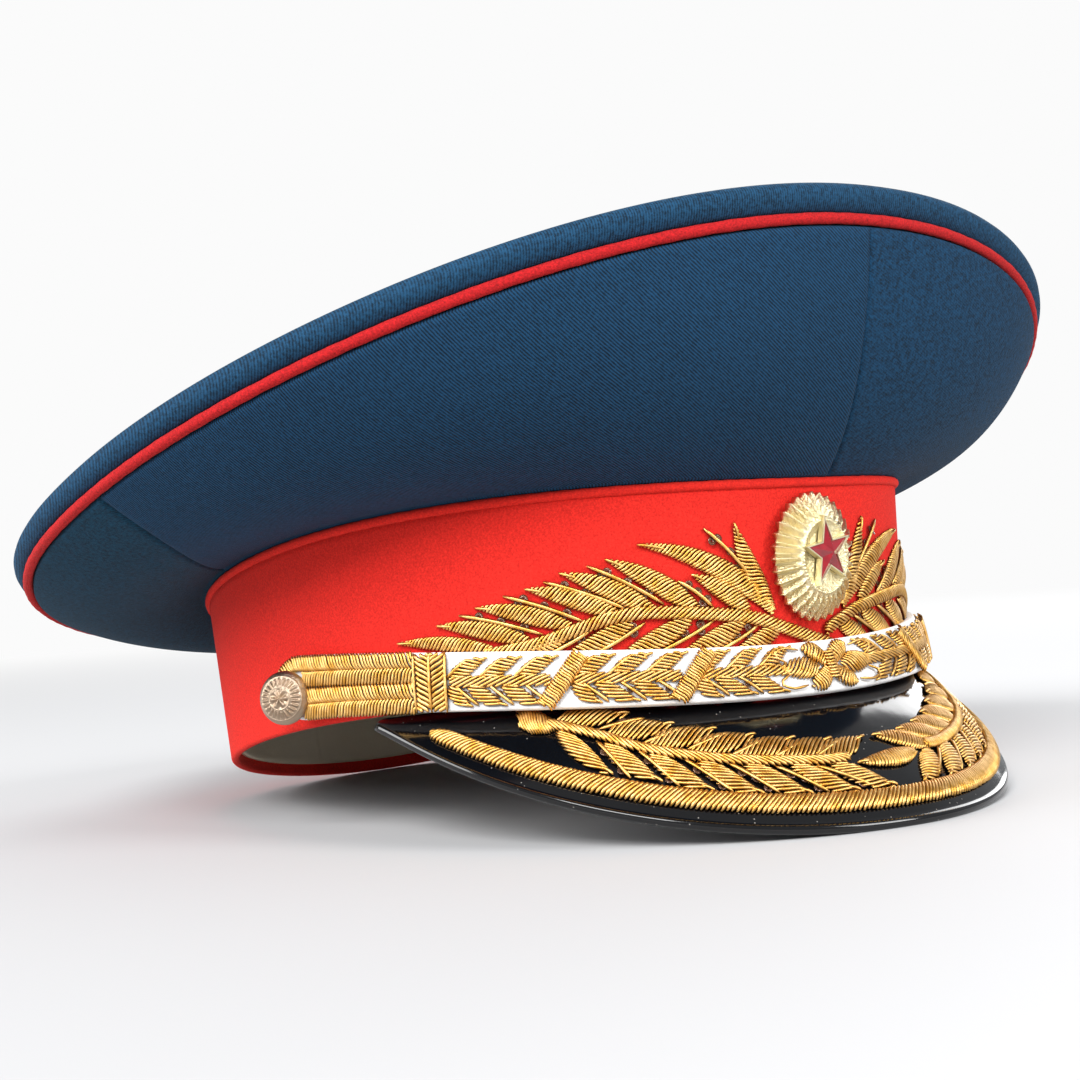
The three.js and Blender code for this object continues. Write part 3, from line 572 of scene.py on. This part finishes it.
def leaf(place, base, tip, width, bow, lean, level=0.2, pitch=0.74, wire=WIRE):
    """A padded leaf: wire laid across it and one short end of wire that draws out the tip."""
    line = bowed(base, tip, bow)
    dense, _, walked = line
    end = np.stack(read(dense, walked, walked[-1] * np.array([0.84, 0.93, 1.03])), -1)
    end[2] += unit(dense[-1] - dense[-2]) * 0.5
    return [laid(place, line, leaf_shape(width), lean, pitch, ground=level, wire=wire),
            strand(place, track(end), wire * 0.95, level + 0.25)]


def wirework(name, runs):
    """Tubes round many paths at once, drawn in at both ends. Their map holds the distance along, from
    a start drawn at random, and the share of the way round."""
    paths, ups, radius = (np.concatenate([r[c] for r in runs]) for c in range(3))
    size = radius[:, None] * np.array([0.55, *[1] * (paths.shape[1] - 2), 0.55])
    grid = round_section(paths, unit(np.gradient(paths, axis=1)), ups, size, 6)
    u = walk(paths) + wobble.uniform(0, 50, (len(paths), 1))
    uv = np.stack(np.broadcast_arrays(u[..., None], np.linspace(0, 1, 7)), -1)
    return sweep(name, grid, ring=False, uv=uv)


def gilt_wire(add, place, dark, light):
    """Gilt copper wire wound into a tube: metal with a fine ribbing across the tube, so each rib glints
    by itself. Its tone drifts from yellow to brown gold from one length to the next. Its flanks and
    underside, where the map round the tube, v, has sin(2 pi v) near nought or below, are painted shade:
    a dark brown for the shade between the lengths."""
    flat = add("TexCoord", out="UV")
    drift = add("TexNoise", Vector=place, Scale=420.0, Detail=2.0)
    tone = add("MapRange", Value=drift, From_Min=0.3, From_Max=0.7)
    gilt = add("Mix", COLOURS, 2, s0=tone, s6=dark, s7=light)
    turned = add("Math", {"operation": "MULTIPLY"}, s0=add("SeparateXYZ", out=1, Vector=flat),
                 s1=2 * np.pi)
    height = add("Math", {"operation": "SINE"}, s0=turned)
    gilt_crest_over_painted_shade = add("MapRange", Value=height, From_Min=0.05, From_Max=0.85)
    # Painted shade: the flanks and underside of each length turn dark brown (6a4416).
    colour = add("Mix", COLOURS, 2, s0=gilt_crest_over_painted_shade, s6="6a4416", s7=gilt)
    winding = add("TexWave", out=1, Vector=flat, Scale=0.314 / 0.3, Distortion=0.5)
    bump = add("Bump", Height=winding, Strength=0.25, Distance=0.0001)
    rough = add("MapRange", Value=drift, To_Min=0.28, To_Max=0.42)
    return add("BsdfPrincipled", Base_Color=colour, Metallic=1.0, Roughness=rough, Normal=bump)


GILT_WIRE = material("gilt bullion wire", gilt_wire, "d69c40", "fcce82")


def embroider(name, runs, node):
    """Wirework in gilt bullion, which stands for one solid."""
    dress(wirework(name, runs), GILT_WIRE, "bullion", node)


def angle_along(line, turn):
    """Gives the angle at a distance from the middle of a line, whose places at `turn` are given."""
    walked = walk(line)
    return lambda along: np.sign(along) * np.interp(np.abs(along), walked, turn)


# Distances run round the band at its mid height and along the peak's rim.
half_turn, quarter_turn = np.linspace(0, np.pi, 721), np.linspace(0, np.pi / 2, 721)
band_angle = angle_along(on_band(half_turn, BAND_HEIGHT / 2)[:, :2], half_turn)
rim_angle = angle_along(peak_rim(quarter_turn), quarter_turn)


def placed(surface, angle_at, side, raised=0.0):
    """Places on a surface as (distance from the front toward `side`, height or inset, off)."""
    return lambda along, across, off: surface(angle_at(side * along), across, raised + off)


# ---- Laurel on the band ----
# Two sprays rise from stems that cross under the cockade and run back along the strap. Plump leaves
# alternate with bare strands that hold sequins.
# Leaves: base (distance from the front, height), tip, width and bow, in mm. The last five hang below.
BAND_LEAVES = [
    ((11.6, 16), (21.6, 36.2), 5.6, -1.2), ((11.5, 15.6), (45, 32.8), 5.2, 3.0),
    ((18.5, 16.6), (32.8, 25.2), 4.8, 0.5), ((31.5, 17.6), (52.5, 30), 5.2, 0.6),
    ((42.5, 18.4), (63, 27.8), 5.0, 0.6), ((50.5, 17.8), (71, 25), 4.8, 0.6),
    ((61, 15.8), (83, 22), 4.6, 0.6), ((71, 13.5), (93, 19), 4.4, 0.6),
    ((80, 12.6), (104, 16.2), 3.6, 0.4), ((9.5, 12.2), (23, 7.6), 4.6, -0.5),
    ((20, 13.8), (36.5, 8), 5.0, -0.5), ((33.6, 15.2), (50.5, 8.8), 5.0, -0.5),
    ((47.4, 15.6), (63, 9.8), 4.6, -0.5), ((62, 13.8), (74, 11.2), 3.6, -0.4),
]
BAND_STRANDS = [
    ((17.5, 23.4), (29.5, 35.6), 0.4), ((28, 17.6), (36.4, 24.2), 0.3), ((40, 19.2), (57, 29), 0.4),
    ((48.6, 18.6), (67, 26.3), 0.4), ((58.4, 16.6), (76.5, 24), 0.4), ((68, 14.6), (87.5, 20.8), 0.4),
    ((16.4, 13), (27.4, 7.8), -0.3), ((28, 14.8), (42, 8.4), -0.3), ((44.6, 15.4), (56, 9.4), -0.3),
    ((57, 14.6), (67, 10), -0.3),
]
BAND_STEM = [(10, 12.3), (17, 14.6), (26, 16), (36, 17), (46, 17.6), (54, 16.6), (62, 14.4), (70, 12.4),
             (82, 11)]


def sequins(name, spots, radius=1.05):
    """Sews on small dished washers with a hole: a ring of four points carried round a circle, all at
    once. spots are (centre, normal) pairs."""
    centres, normals = np.moveaxis(np.array(spots), 1, 0)[:, :, None, None]
    normals = unit(normals)
    across = unit(np.cross(normals, vec(0.3, 0.2, 1)))
    q = full_turn(12)[:, None, None]
    washer = np.array([[0.22, 0.02], [1, 0.22], [1, 0.32], [0.22, 0.12]])
    out = across * np.cos(q) + np.cross(normals, across) * np.sin(q)
    made = sweep(name, centres + radius * (out * washer[:, :1] + normals * washer[:, 1:]))
    dress(made, SEQUIN, "bullion")


def sequin_spots(place, strands, shares, beside=0.75):
    """Where sequins sit: at shares of each strand's length, a little to one side of it."""
    spots = []
    for start, end, *_ in strands:
        run = np.subtract(end, start)
        square = np.array([-run[1], run[0]]) / np.hypot(*run)
        for share, way in shares:
            x, y = start + run * share + square * beside * way
            at = place(x, y, 0.35)
            spots.append((at, unit(place(x, y, 1.0) - at) + wobble.normal(0, 0.12, 3)))
    return spots


def smoked_sequin(add, place):
    """Thin moulded gelatine, smoke brown: glossy and half clear, so the cloth shows through."""
    return add("BsdfPrincipled", Base_Color="6a4a36", Roughness=0.12, Metallic=0.25, Alpha=0.75)


SEQUIN = material("smoke brown sequin", smoked_sequin)
BESIDE = [(0.22, 1), (0.26, -0.9), (0.5, 1), (0.76, 1), (0.8, -0.9)]
SIDES = ("right", -1), ("left", 1)
for name, side in SIDES:
    place = placed(on_band, band_angle, side)
    start = (-7.5, 6.6) if side < 0 else (4.4, 10.2)
    runs = [laid(place, track([start, *BAND_STEM]), even(3.1), -1.35, ground=0.5)]
    for n, (base, tip, width, bow) in enumerate(BAND_LEAVES):
        runs += leaf(place, base, tip, width, bow, -0.8 if n < 9 else 1.15, 0.2 + 0.1 * (n % 3))
    runs += [strand(place, bowed(*ends)) for ends in BAND_STRANDS]
    embroider(f"band_laurel_{name}", runs, f"band_wreath_{name}")
    sequins(f"band_sequins_{name}", sequin_spots(place, BAND_STRANDS, BESIDE))

# ---- Border and laurel on the peak ----
# A padded border of the same wire follows the rim, and two sprays run along the peak from thick stem
# ends at the sides to meet at the front.
# Leaves: base (distance along the rim, distance in from it) and tip, in mm.
PEAK_INNER = [((87.5, 22.2), (67, 30)), ((74.5, 21), (55.8, 28.4)), ((64, 20), (45, 28)),
              ((54, 19.8), (35.2, 27)), ((42.5, 19.2), (25, 26)), ((32, 19.2), (15, 25.2)),
              ((22.5, 18.8), (4.6, 25))]
PEAK_OUTER = [((88, 19.2), (76, 10.2)), ((76.5, 18.2), (64.5, 10.2)), ((65.6, 17), (53, 9.2)),
              ((54, 17), (41.6, 9.2)), ((42.6, 17), (30.2, 9.2)), ((31, 17), (18.2, 9.2)),
              ((20.4, 17.2), (7.5, 9.6))]
PEAK_STRANDS = [((78, 18.8), (71.6, 9.8)), ((68, 18.4), (60.4, 9.4)), ((57, 17.4), (48.3, 9.2)),
                ((46.4, 17.4), (37.6, 9.4)), ((35, 17), (25.6, 9.4)), ((24.5, 17), (13.6, 10)),
                ((76.5, 22.6), (63, 29)), ((66, 20.4), (52.8, 27.6)), ((55, 20.4), (42.3, 27)),
                ((45, 19.4), (33, 25.4)), ((34, 19.6), (22.6, 25)), ((24, 19.2), (11.2, 25.2))]
PEAK_STEM = [(91, 20.8), (84, 21), (76.5, 20.6), (68.5, 19.2), (60, 18.6), (48, 18.3), (32, 18.4),
             (20, 18.5), (14, 19)]
STEM_END = track([(99, 19.8), (94.5, 20.6), (87, 21)])
# The two sprays differ in the slant of their wire and in how far they reach past the middle.
for (name, side), stem, inner, outer, slip in zip(SIDES, (1.6, 0.1), (-2.4, 0.6), (-1.7, -1.2), (0, -5.5)):
    place = placed(on_peak, rim_angle, side)
    runs = [laid(place, track(PEAK_STEM), even(2.8), stem, 0.85, pad=0.8, ground=0.5, wire=0.46),
            laid(place, STEM_END, leaf_shape(8.2, 0.6, 0.3), 0.3, 0.8, pad=1.5)]
    for leaves, width, bow, lean in ((PEAK_INNER, 6.0, -0.5, inner), (PEAK_OUTER, 6.2, 0.5, outer)):
        for n, (base, tip) in enumerate(np.array(leaves) + [slip, 0]):
            runs += leaf(place, base, tip, width, bow, lean, 0.2 + 0.1 * (n % 3), 0.8, 0.4)
    if side > 0:
        runs += leaf(place, (8, 18.2), (-12.6, 17), 5.0, 0.3, 0.5, 0.3, 0.85, 0.46)
    strands = np.array(PEAK_STRANDS) + [slip, 0]
    runs += [strand(place, bowed(*ends, 0)) for ends in strands]
    embroider(f"peak_laurel_{name}", runs, f"peak_spray_{name}")
    sequins(f"peak_sequins_{name}", sequin_spots(place, strands, [(0.3, 1), (0.55, -1), (0.8, 1)], 0.5))

BORDER_INSET = 6.6


def slanted(along, inset, off):
    """The border's place: sheared by a slant that eases from 1.1 on the right to 0.1 on the left."""
    shear = (inset - BORDER_INSET) * (0.6 - 0.5 * np.tanh((along - 8) / 18))
    return on_peak(rim_angle(along + shear), inset, off)


border_line = track([(s, BORDER_INSET) for s in np.linspace(-125, 125, 26)], smooth=False)
border = laid(slanted, border_line, even(5.0), 0, 1.12, pad=1.0, ground=0.25, wire=0.49)
embroider("peak_border_wire", [border], "peak_border")

# ---- The chin strap ----
# A stiff strap covered in white cloth lies across the front. It bears a laurel garland tied by slanting
# bands and a knot in the middle, a herringbone keeper near each end, and four rows of braid beyond.
STRAP_WALL, STRAP_HALF, STRAP_ROUND, STRAP_STRAIGHT = 2.7, 145, 0.9, 135.5


def strap_edges(a):
    """Heights of the strap's lower and upper edge, and how far the lower one is pushed off the band.
    The lower edge sags toward the buttons."""
    level = 4.5 - 9.5 * np.cos(a)
    low = level - 9 * np.maximum(0, 0.5 - np.cos(a)) ** 2
    return low, level + 15 - 2.5 * np.cos(a), 0.5 + 0.95 * np.maximum(0, 0.3 - low)


def on_strap(a, across, off):
    """A point on the strap: `across` mm up from its lower edge and `off` from its back."""
    a, across, off = np.broadcast_arrays(a, across, off)
    low, high, push = strap_edges(a)
    bottom, top = on_band(a, low, push), on_band(a, high, 0.5)
    up = unit(top - bottom)
    ahead = on_band(a + 0.01, low, push) - on_band(a - 0.01, low, push)
    face = unit(np.cross(ahead, up))
    return bottom + up * across[..., None] + face * off[..., None]


def strap_width(a):
    """The strap's width there."""
    low, high, push = strap_edges(a)
    return np.linalg.norm(on_band(a, high, 0.5) - on_band(a, low, push), axis=-1)


along = np.linspace(-STRAP_HALF, STRAP_HALF, 401)[:, None]
a = band_angle(along)
width = strap_width(a)
corner = np.linspace(0, np.pi / 2, 6)[None]
ease, drop = STRAP_ROUND * (1 - np.cos(corner)), STRAP_ROUND * (1 - np.sin(corner))
inner_width = (width - 2 * STRAP_ROUND) * np.linspace(0, 1, 14)[None]
# Past the straight part the ends are drawn in to near points, as an ellipse of 9.9 mm.
narrow = np.sqrt(np.clip(1 - (np.clip(np.abs(along) - STRAP_STRAIGHT, 0, None) / 9.9) ** 2, 0.02, 1))


def strap_row(across, off):
    """Points at a distance across the strap, scaled to its width at the rounded ends."""
    return on_strap(a, width * (1 - narrow) / 2 + across * narrow, off)


strap_grid = np.concatenate([
    strap_row(ease, STRAP_WALL - drop),
    strap_row(STRAP_ROUND + inner_width, STRAP_WALL),
    strap_row(width - ease[:, ::-1], STRAP_WALL - drop[:, ::-1]),
    strap_row(width - ease, drop),
    strap_row(ease[:, ::-1], drop[:, ::-1]),
], 1)


def white_cloth(add, place, dark, light):
    """White wool cloth glued over a stiffener: matt and slightly fluffy, with a nap of 0.8 mm."""
    nap = add("TexNoise", Vector=place, Scale=1300.0, Detail=4.0, Roughness=0.7)
    colour = add("Mix", COLOURS, 2, s0=nap, s6=dark, s7=light)
    bump = add("Bump", Height=nap, Strength=0.4, Distance=0.0004)
    return add("BsdfPrincipled", Base_Color=colour, Roughness=0.9, Sheen_Weight=0.2,
               Sheen_Roughness=0.5, Normal=bump)


dress(sweep("chin_strap_cloth", strap_grid, ring=False),
      material("white wool cloth", white_cloth, "dcd9d6", "ffffff"), "strap", "chin_strap")

STRAP_PLACES = {side: placed(on_strap, band_angle, side, STRAP_WALL) for _, side in SIDES}
STARTS, LEAF_STEP = (89.4, 61, 35), 8  # where the garland's three parts start; from leaf to leaf
TIES = [((67.8, 0.5), (59.4, 12.2)), ((39.8, 0.5), (31.2, 11.8))]
KNOT = 6.2  # the knot's height on the strap


def middle(along):
    """Height of the garland's stem on the strap."""
    return KNOT + 0.5 * along / STARTS[0]


LEAF_PLACES = [(n, start, start - LEAF_STEP * n) for start in STARTS for n in range(3)]
strap_strands = []
for _, _, at in LEAF_PLACES:
    strap_strands.append(((at + 1, middle(at) + 0.8), (at - 4.4, middle(at) + 5.2), 0))
    strap_strands.append(((at - 1.4, middle(at) - 0.8), (at - 6.8, middle(at) - 5.4), 0))
strap_strands = strap_strands[:-1]
garland = []
for side in (-1, 1):
    place = STRAP_PLACES[side]
    for stem_start, stem_end in ((89.6, 66), (62, 38), (36, 12)):
        line = track([(s, middle(s)) for s in np.linspace(stem_start, stem_end, 4)])
        garland.append(laid(place, line, even(2.7), -2.3, pad=0.6, ground=0.35))
    for n, start, at in LEAF_PLACES:
        ahead = at + 3.8
        garland += leaf(place, (at, middle(at) + 0.6), (at - 8.6, middle(at) + 5.2), 3.6, -0.4, 1.4,
                        0.1 + 0.1 * (n % 2))
        garland += leaf(place, (min(ahead, start + 0.6), middle(at) - 0.8),
                        (ahead - 8.8, middle(at) - 5.4), 3.5, 0.4, -2.4, 0.15 + 0.1 * (n % 2))
    for low, high in TIES:
        garland.append(laid(place, track([low, high]), even(4.0), -0.32, 0.64, ground=0.8, wire=0.36))
    for way in (-1, 1):
        petal = bowed((0.6, KNOT + way * 0.4), (7, KNOT + way * 5.0), way * 0.6)
        garland.append(laid(place, petal, leaf_shape(4.6, 0.5, 0.62), way * 0.3, ground=0.4))
        berry = track([(12.4, KNOT + way * 1.4), (15.6, KNOT + way * 3.4), (12.6, KNOT + way * 4.9),
                       (8.2, KNOT + way * 4.3)])
        garland.append(strand(place, berry, radius=0.34, ground=0.6))
    garland.append(laid(place, bowed((14.5, KNOT), (3.2, KNOT), 0), leaf_shape(5.4, 0.3, 0.6), -1.0,
                        pad=1.1, ground=0.4))
    garland += [strand(place, bowed(*ends), radius=0.42) for ends in strap_strands]
garland.append(laid(STRAP_PLACES[1], track([(0, 2.6), (0, 9.8)]), even(3.0), 0.2, pad=1.0, ground=0.9))
embroider("strap_garland", garland, "strap_laurel")
spots = [s for side in (-1, 1) for s in sequin_spots(STRAP_PLACES[side], strap_strands, [(0.42, 1)], 0.15)]
sequins("strap_sequins", spots, 0.9)

BRAID_ENDS = (134.5, 133, 134, 136)
for name, side in SIDES:
    place = STRAP_PLACES[side]
    rows, keeper = [], []
    for n, end in enumerate(BRAID_ENDS):
        stations = np.linspace(98.4, end, 6)
        row = (strap_width(band_angle(stations)) + 0.3) / 4
        heights = -0.15 + row * (n + 0.5)
        line = list(zip(stations, heights))
        if n == 3:
            line += [(138.5, heights[-1] - 0.3), (142, heights[-1] - 1.6), (144.6, heights[-1] - 4.2),
                     (145.4, heights[-1] - 7)]
        rows.append(laid(place, track(line), even(row.mean() * 1.03, False), (-0.55, 0.55)[n % 2], 0.84,
                         pad=0.6, ground=0.3, wire=0.41))
    embroider(f"strap_braid_wire_{name}", rows, f"strap_braid_{name}")
    for centre, lean in ((92.25, 0.8), (96.15, -0.8)):
        keeper.append(laid(place, track([(centre, 0.2), (centre, 13.6)]), even(3.7, False), lean, 0.95,
                           pad=0.5, ground=0.5, wire=0.5))
    keeper += [strand(place, track([(at, 0), (at, 13.8)]), 0.38, 0.8) for at in (90.2, 94.2, 98.2)]
    embroider(f"strap_keeper_wire_{name}", keeper, f"strap_keeper_{name}")

# ---- The cockade ----
# An oval badge pressed from pale gilt metal: thirty-two fluted rays with pointed ends and a hammered
# skin surround a smooth domed field. A ruby enamel star with a polished rim is fixed in the middle.
COCKADE_HALF, COCKADE_MIDDLE, RAYS, FIELD = (13.2, 15.4), 27.8, 32, 0.6


def seat(origin, right, up):
    """Coordinates (right, up, off) on a flat place, as points."""
    face = np.cross(right, up)

    def place(x, y, off):
        x, y, off = np.broadcast_arrays(x, y, off)
        return origin + x[..., None] * right + y[..., None] * up + off[..., None] * face
    return place


def badge_seat(off):
    """The cockade's place on the band's front."""
    up = unit(on_band(0.0, BAND_HEIGHT) - on_band(0.0, 0.0))
    return seat(on_band(0.0, COCKADE_MIDDLE, off), np.array([1.0, 0, 0]), up)


def disc(name, place, x, y, off, back, smooth=True):
    """A plate: rings of points from the middle to the edge in front, and the same rings behind at the
    height `back`."""
    front = place(x, y, off)
    rear = place(x[:, ::-1], y[:, ::-1], (back + 0 * off)[:, ::-1])
    return weld(sweep(name, np.concatenate([front, rear], 1), smooth=smooth))


q = full_turn(RAYS * 14)[:, None]
ray = np.abs(((q * RAYS / (2 * np.pi)) % 1) - 0.5) * 2
share = np.concatenate([np.linspace(0, 0.5, 14), np.linspace(0.52, FIELD, 8), np.linspace(0.62, 1, 26)])
share = share[None]
past = (share - FIELD) / (1 - FIELD)
tooth = 1 - 0.12 * (1 - ray)
radius = np.where(share > FIELD, FIELD + past * (tooth - FIELD), share)
flute = (ray - 0.5) * 1.7 * np.clip((share - FIELD) / 0.12, 0, 1)
fall = 5.2 - 4.1 * np.clip(past, 0, 1) ** 1.2
lip = 0.5 * np.exp(-((share - 0.56) / 0.025) ** 2) * (1 + 0.25 * np.cos(q * 2 * RAYS))
field = -0.5 * np.clip((0.52 - share) / 0.1, 0, 1)
badge = disc("cockade_plate", badge_seat(0.9), COCKADE_HALF[0] * radius * np.cos(q),
             COCKADE_HALF[1] * radius * np.sin(q), fall + flute + lip + field, 0.0)


def pressed_gilt(add, place, dark, light, hammered, grain=1400.0):
    """Thin brass pressed in a die and plated pale gold: bright, with a hammered skin of half-millimetre
    dents that breaks up its reflections."""
    dents = add("TexNoise", Vector=place, Scale=grain, Detail=3.0, Roughness=0.6)
    cloud = add("TexNoise", Vector=place, Scale=160.0, Detail=2.0)
    colour = add("Mix", COLOURS, 2, s0=cloud, s6=dark, s7=light)
    bump = add("Bump", Height=dents, Strength=hammered, Distance=0.001)
    return add("BsdfPrincipled", Base_Color=colour, Metallic=1.0, Roughness=0.3, Normal=bump)


dress(badge, material("pale gilt pressed brass", pressed_gilt, "cdbd8a", "f6ebc8", 0.55), "gilt", "cockade")

STAR_TIP, STAR_VALLEY, STAR_TURN = 8.8, 3.5, np.radians(8)


def star_reach(q, outer, inner):
    """Distance to a five-pointed star's outline along angle q: straight lines from tip to valley."""
    sector = np.abs(((q / (2 * np.pi / 5)) % 1) - 0.5) * 2
    theta = (1 - sector) * np.pi / 5
    dx, dy = inner * np.cos(np.pi / 5) - outer, inner * np.sin(np.pi / 5)
    return outer * dy / (np.cos(theta) * dy - np.sin(theta) * dx)


def star_plate(name, off, rings, heights):
    """A star whose rings are scaled copies of its outline at given heights."""
    q = full_turn(200)[:, None]
    reach = star_reach(q, STAR_TIP, STAR_VALLEY) * np.array(rings)[None]
    turn = q + np.pi / 2 + STAR_TURN
    return disc(name, badge_seat(off), 0.9 * reach * np.cos(turn), reach * np.sin(turn),
                np.array(heights)[None] + 0 * q, 0.0, smooth=False)


def ruby_enamel(add, place, dark, light):
    """Transparent ruby enamel fired over engraved metal: deep red and glassy, lighter where it is thin."""
    depth = add("TexNoise", Vector=place, Scale=500.0, Detail=2.0)
    colour = add("Mix", COLOURS, 2, s0=depth, s6=dark, s7=light)
    return add("BsdfPrincipled", Base_Color=colour, Roughness=0.12, Coat_Weight=0.8,
               Coat_Roughness=0.03, Specular_IOR_Level=0.7)


rim_star = star_plate("star_rim", 6.0, [0, 0.82, 0.86, 0.97, 1.0], [1.0, 1.0, 1.6, 1.6, 1.1])
dress(rim_star, material("polished pale gilt", pressed_gilt, "d8cca0", "f6efd4", 0.1), "gilt")
jewel = star_plate("star_enamel", 6.1, [0, 0.84], [3.0, 1.2])
dress(jewel, material("ruby enamel", ruby_enamel, "6a0412", "a80a20"), "enamel", "cockade_star")

# ---- Side buttons ----
# A domed pale gilt button with a shank holds each end of the strap. Its face carries plain turned rings
# and a sunburst.
BUTTON_RADIUS, BUTTON_ALONG, BUTTON_DROP, BUTTON_SWING = 6.6, 138.0, 1.9, np.radians(30)
q = full_turn(192)[:, None]
share = np.concatenate([np.linspace(0, 0.94, 76), np.linspace(0.95, 1, 7)])[None]
dome = 0.9 * np.sqrt(np.clip(1 - share ** 10, 0, 1)) + 2.5 * (1 - share ** 2.2)
rings = 0.16 * np.exp(-((share - 0.82) / 0.018) ** 2) + 0.14 * np.exp(-((share - 0.42) / 0.02) ** 2)
burst = 0.26 * np.cos(24 * q) * np.clip((share - 0.46) * 12, 0, 1) * np.clip((0.78 - share) * 12, 0, 1)
boss = 0.32 * np.cos(6 * q) * np.clip(share * 6, 0, 1) * np.clip((0.38 - share) * 14, 0, 1)
shank = np.where(share < 0.23, -3.0, 0.0)
spoke = BUTTON_RADIUS * share
BRASS = material("pale gilt button brass", pressed_gilt, "9e866f", "cebba5", 0.3, 2200.0)
for name, side in SIDES:
    a = band_angle(side * BUTTON_ALONG)
    level = strap_width(a) / 2 - BUTTON_DROP
    ground = STRAP_WALL + 0.3
    base = on_strap(a, level, ground)
    up = unit(on_strap(a, level + 1, ground) - base)
    right = unit(on_strap(a + 0.01, level, ground) - base)
    right = right * np.cos(BUTTON_SWING) + np.cross(right, up) * side * np.sin(BUTTON_SWING)
    base = on_strap(a, level, ground + BUTTON_RADIUS * np.sin(BUTTON_SWING))
    button = disc(f"side_button_{name}", seat(base, right, up), spoke * np.cos(q), spoke * np.sin(q),
                  dome + rings + burst + boss, shank)
    dress(button, BRASS, "gilt", f"button_{name}")

# ---- The studio ----
# A pale sweep of floor, one broad soft lamp above and before the cap, a weaker one on each side and one
# behind, and a dim room for the metal and the lacquer to mirror.
FLOOR_RADIUS, BACKDROP = 6, "fbfbfb"
floor_mesh = bpy.data.meshes.new("floor")
q = full_turn(64)
floor_points = vec(FLOOR_RADIUS * np.cos(q), FLOOR_RADIUS * np.sin(q), 0)
floor_mesh.from_pydata(floor_points.tolist(), [], [list(range(64))])


def matt_floor(add, place, near, far):
    """Pale matt paint, which passes into an evenly lit backdrop between 0.35 and 1.7 m from the cap."""
    away = add("VectorMath", {"operation": "LENGTH"}, "Value", s0=place)
    share = add("MapRange", {"interpolation_type": "SMOOTHSTEP"}, Value=away, From_Min=0.35, From_Max=1.7)
    paint = add("BsdfPrincipled", Base_Color=near, Roughness=0.8)
    return add("MixShader", s0=share, s1=paint, s2=add("Emission", Color=far, Strength=1.0))


floor_mesh.materials.append(material("pale matt floor", matt_floor, "c0c0c1", BACKDROP))
in_scene("floor", floor_mesh)

# Each lamp is a soft square that faces the cap's middle: its place and size in metres, and its watts.
AIM = np.array([0, 0, 0.06])
for name, place, size, power in (("key", (-1.3, -0.9, 1.25), 0.9, 39), ("left", (-1.6, 0.7, 0.75), 1.0, 26),
                                 ("front", (0.6, -1.7, 0.9), 0.8, 26), ("back", (1.5, 0.9, 0.9), 1.2, 22)):
    data = bpy.data.lights.new(name, "AREA")
    data.shape, data.size, data.energy = "SQUARE", size, power
    lamp = in_scene(name, data)
    lamp.location = place
    x, y, z = AIM - place
    lamp.rotation_euler = (np.arctan2(np.hypot(x, y), -z), 0, np.arctan2(y, x) - np.pi / 2)

world = bpy.data.worlds.new("studio")
bpy.context.scene.world = world
world.use_nodes = True
add = adder(world.node_tree)
seen = add("LightPath", out="Is Camera Ray")
room = add("Background", Color="eef1f4", Strength=0.5)
wall = add("Background", Color=BACKDROP, Strength=1.0)
add("OutputWorld", Surface=add("MixShader", s0=seen, s1=room, s2=wall))

# The camera stands low at the cap's right front. It is pitched, turned and rolled by these degrees.
CAMERA_PLACE, LENS = (-0.30557, -0.39045, 0.06162), 58.44
PITCH, HEADING, ROLLED = np.radians([90.931, -37.778, -3.874])
bpy.context.scene.view_settings.view_transform = "Standard"
camera = in_scene("camera", bpy.data.cameras.new("camera"))
bpy.context.scene.camera = camera
camera.data.lens = LENS
camera.data.sensor_width = 36
camera.data.clip_start = 0.01
camera.location = CAMERA_PLACE
level = Euler((PITCH, 0, HEADING)).to_matrix()
camera.rotation_euler = (level @ Euler((0, 0, ROLLED)).to_matrix()).to_euler()
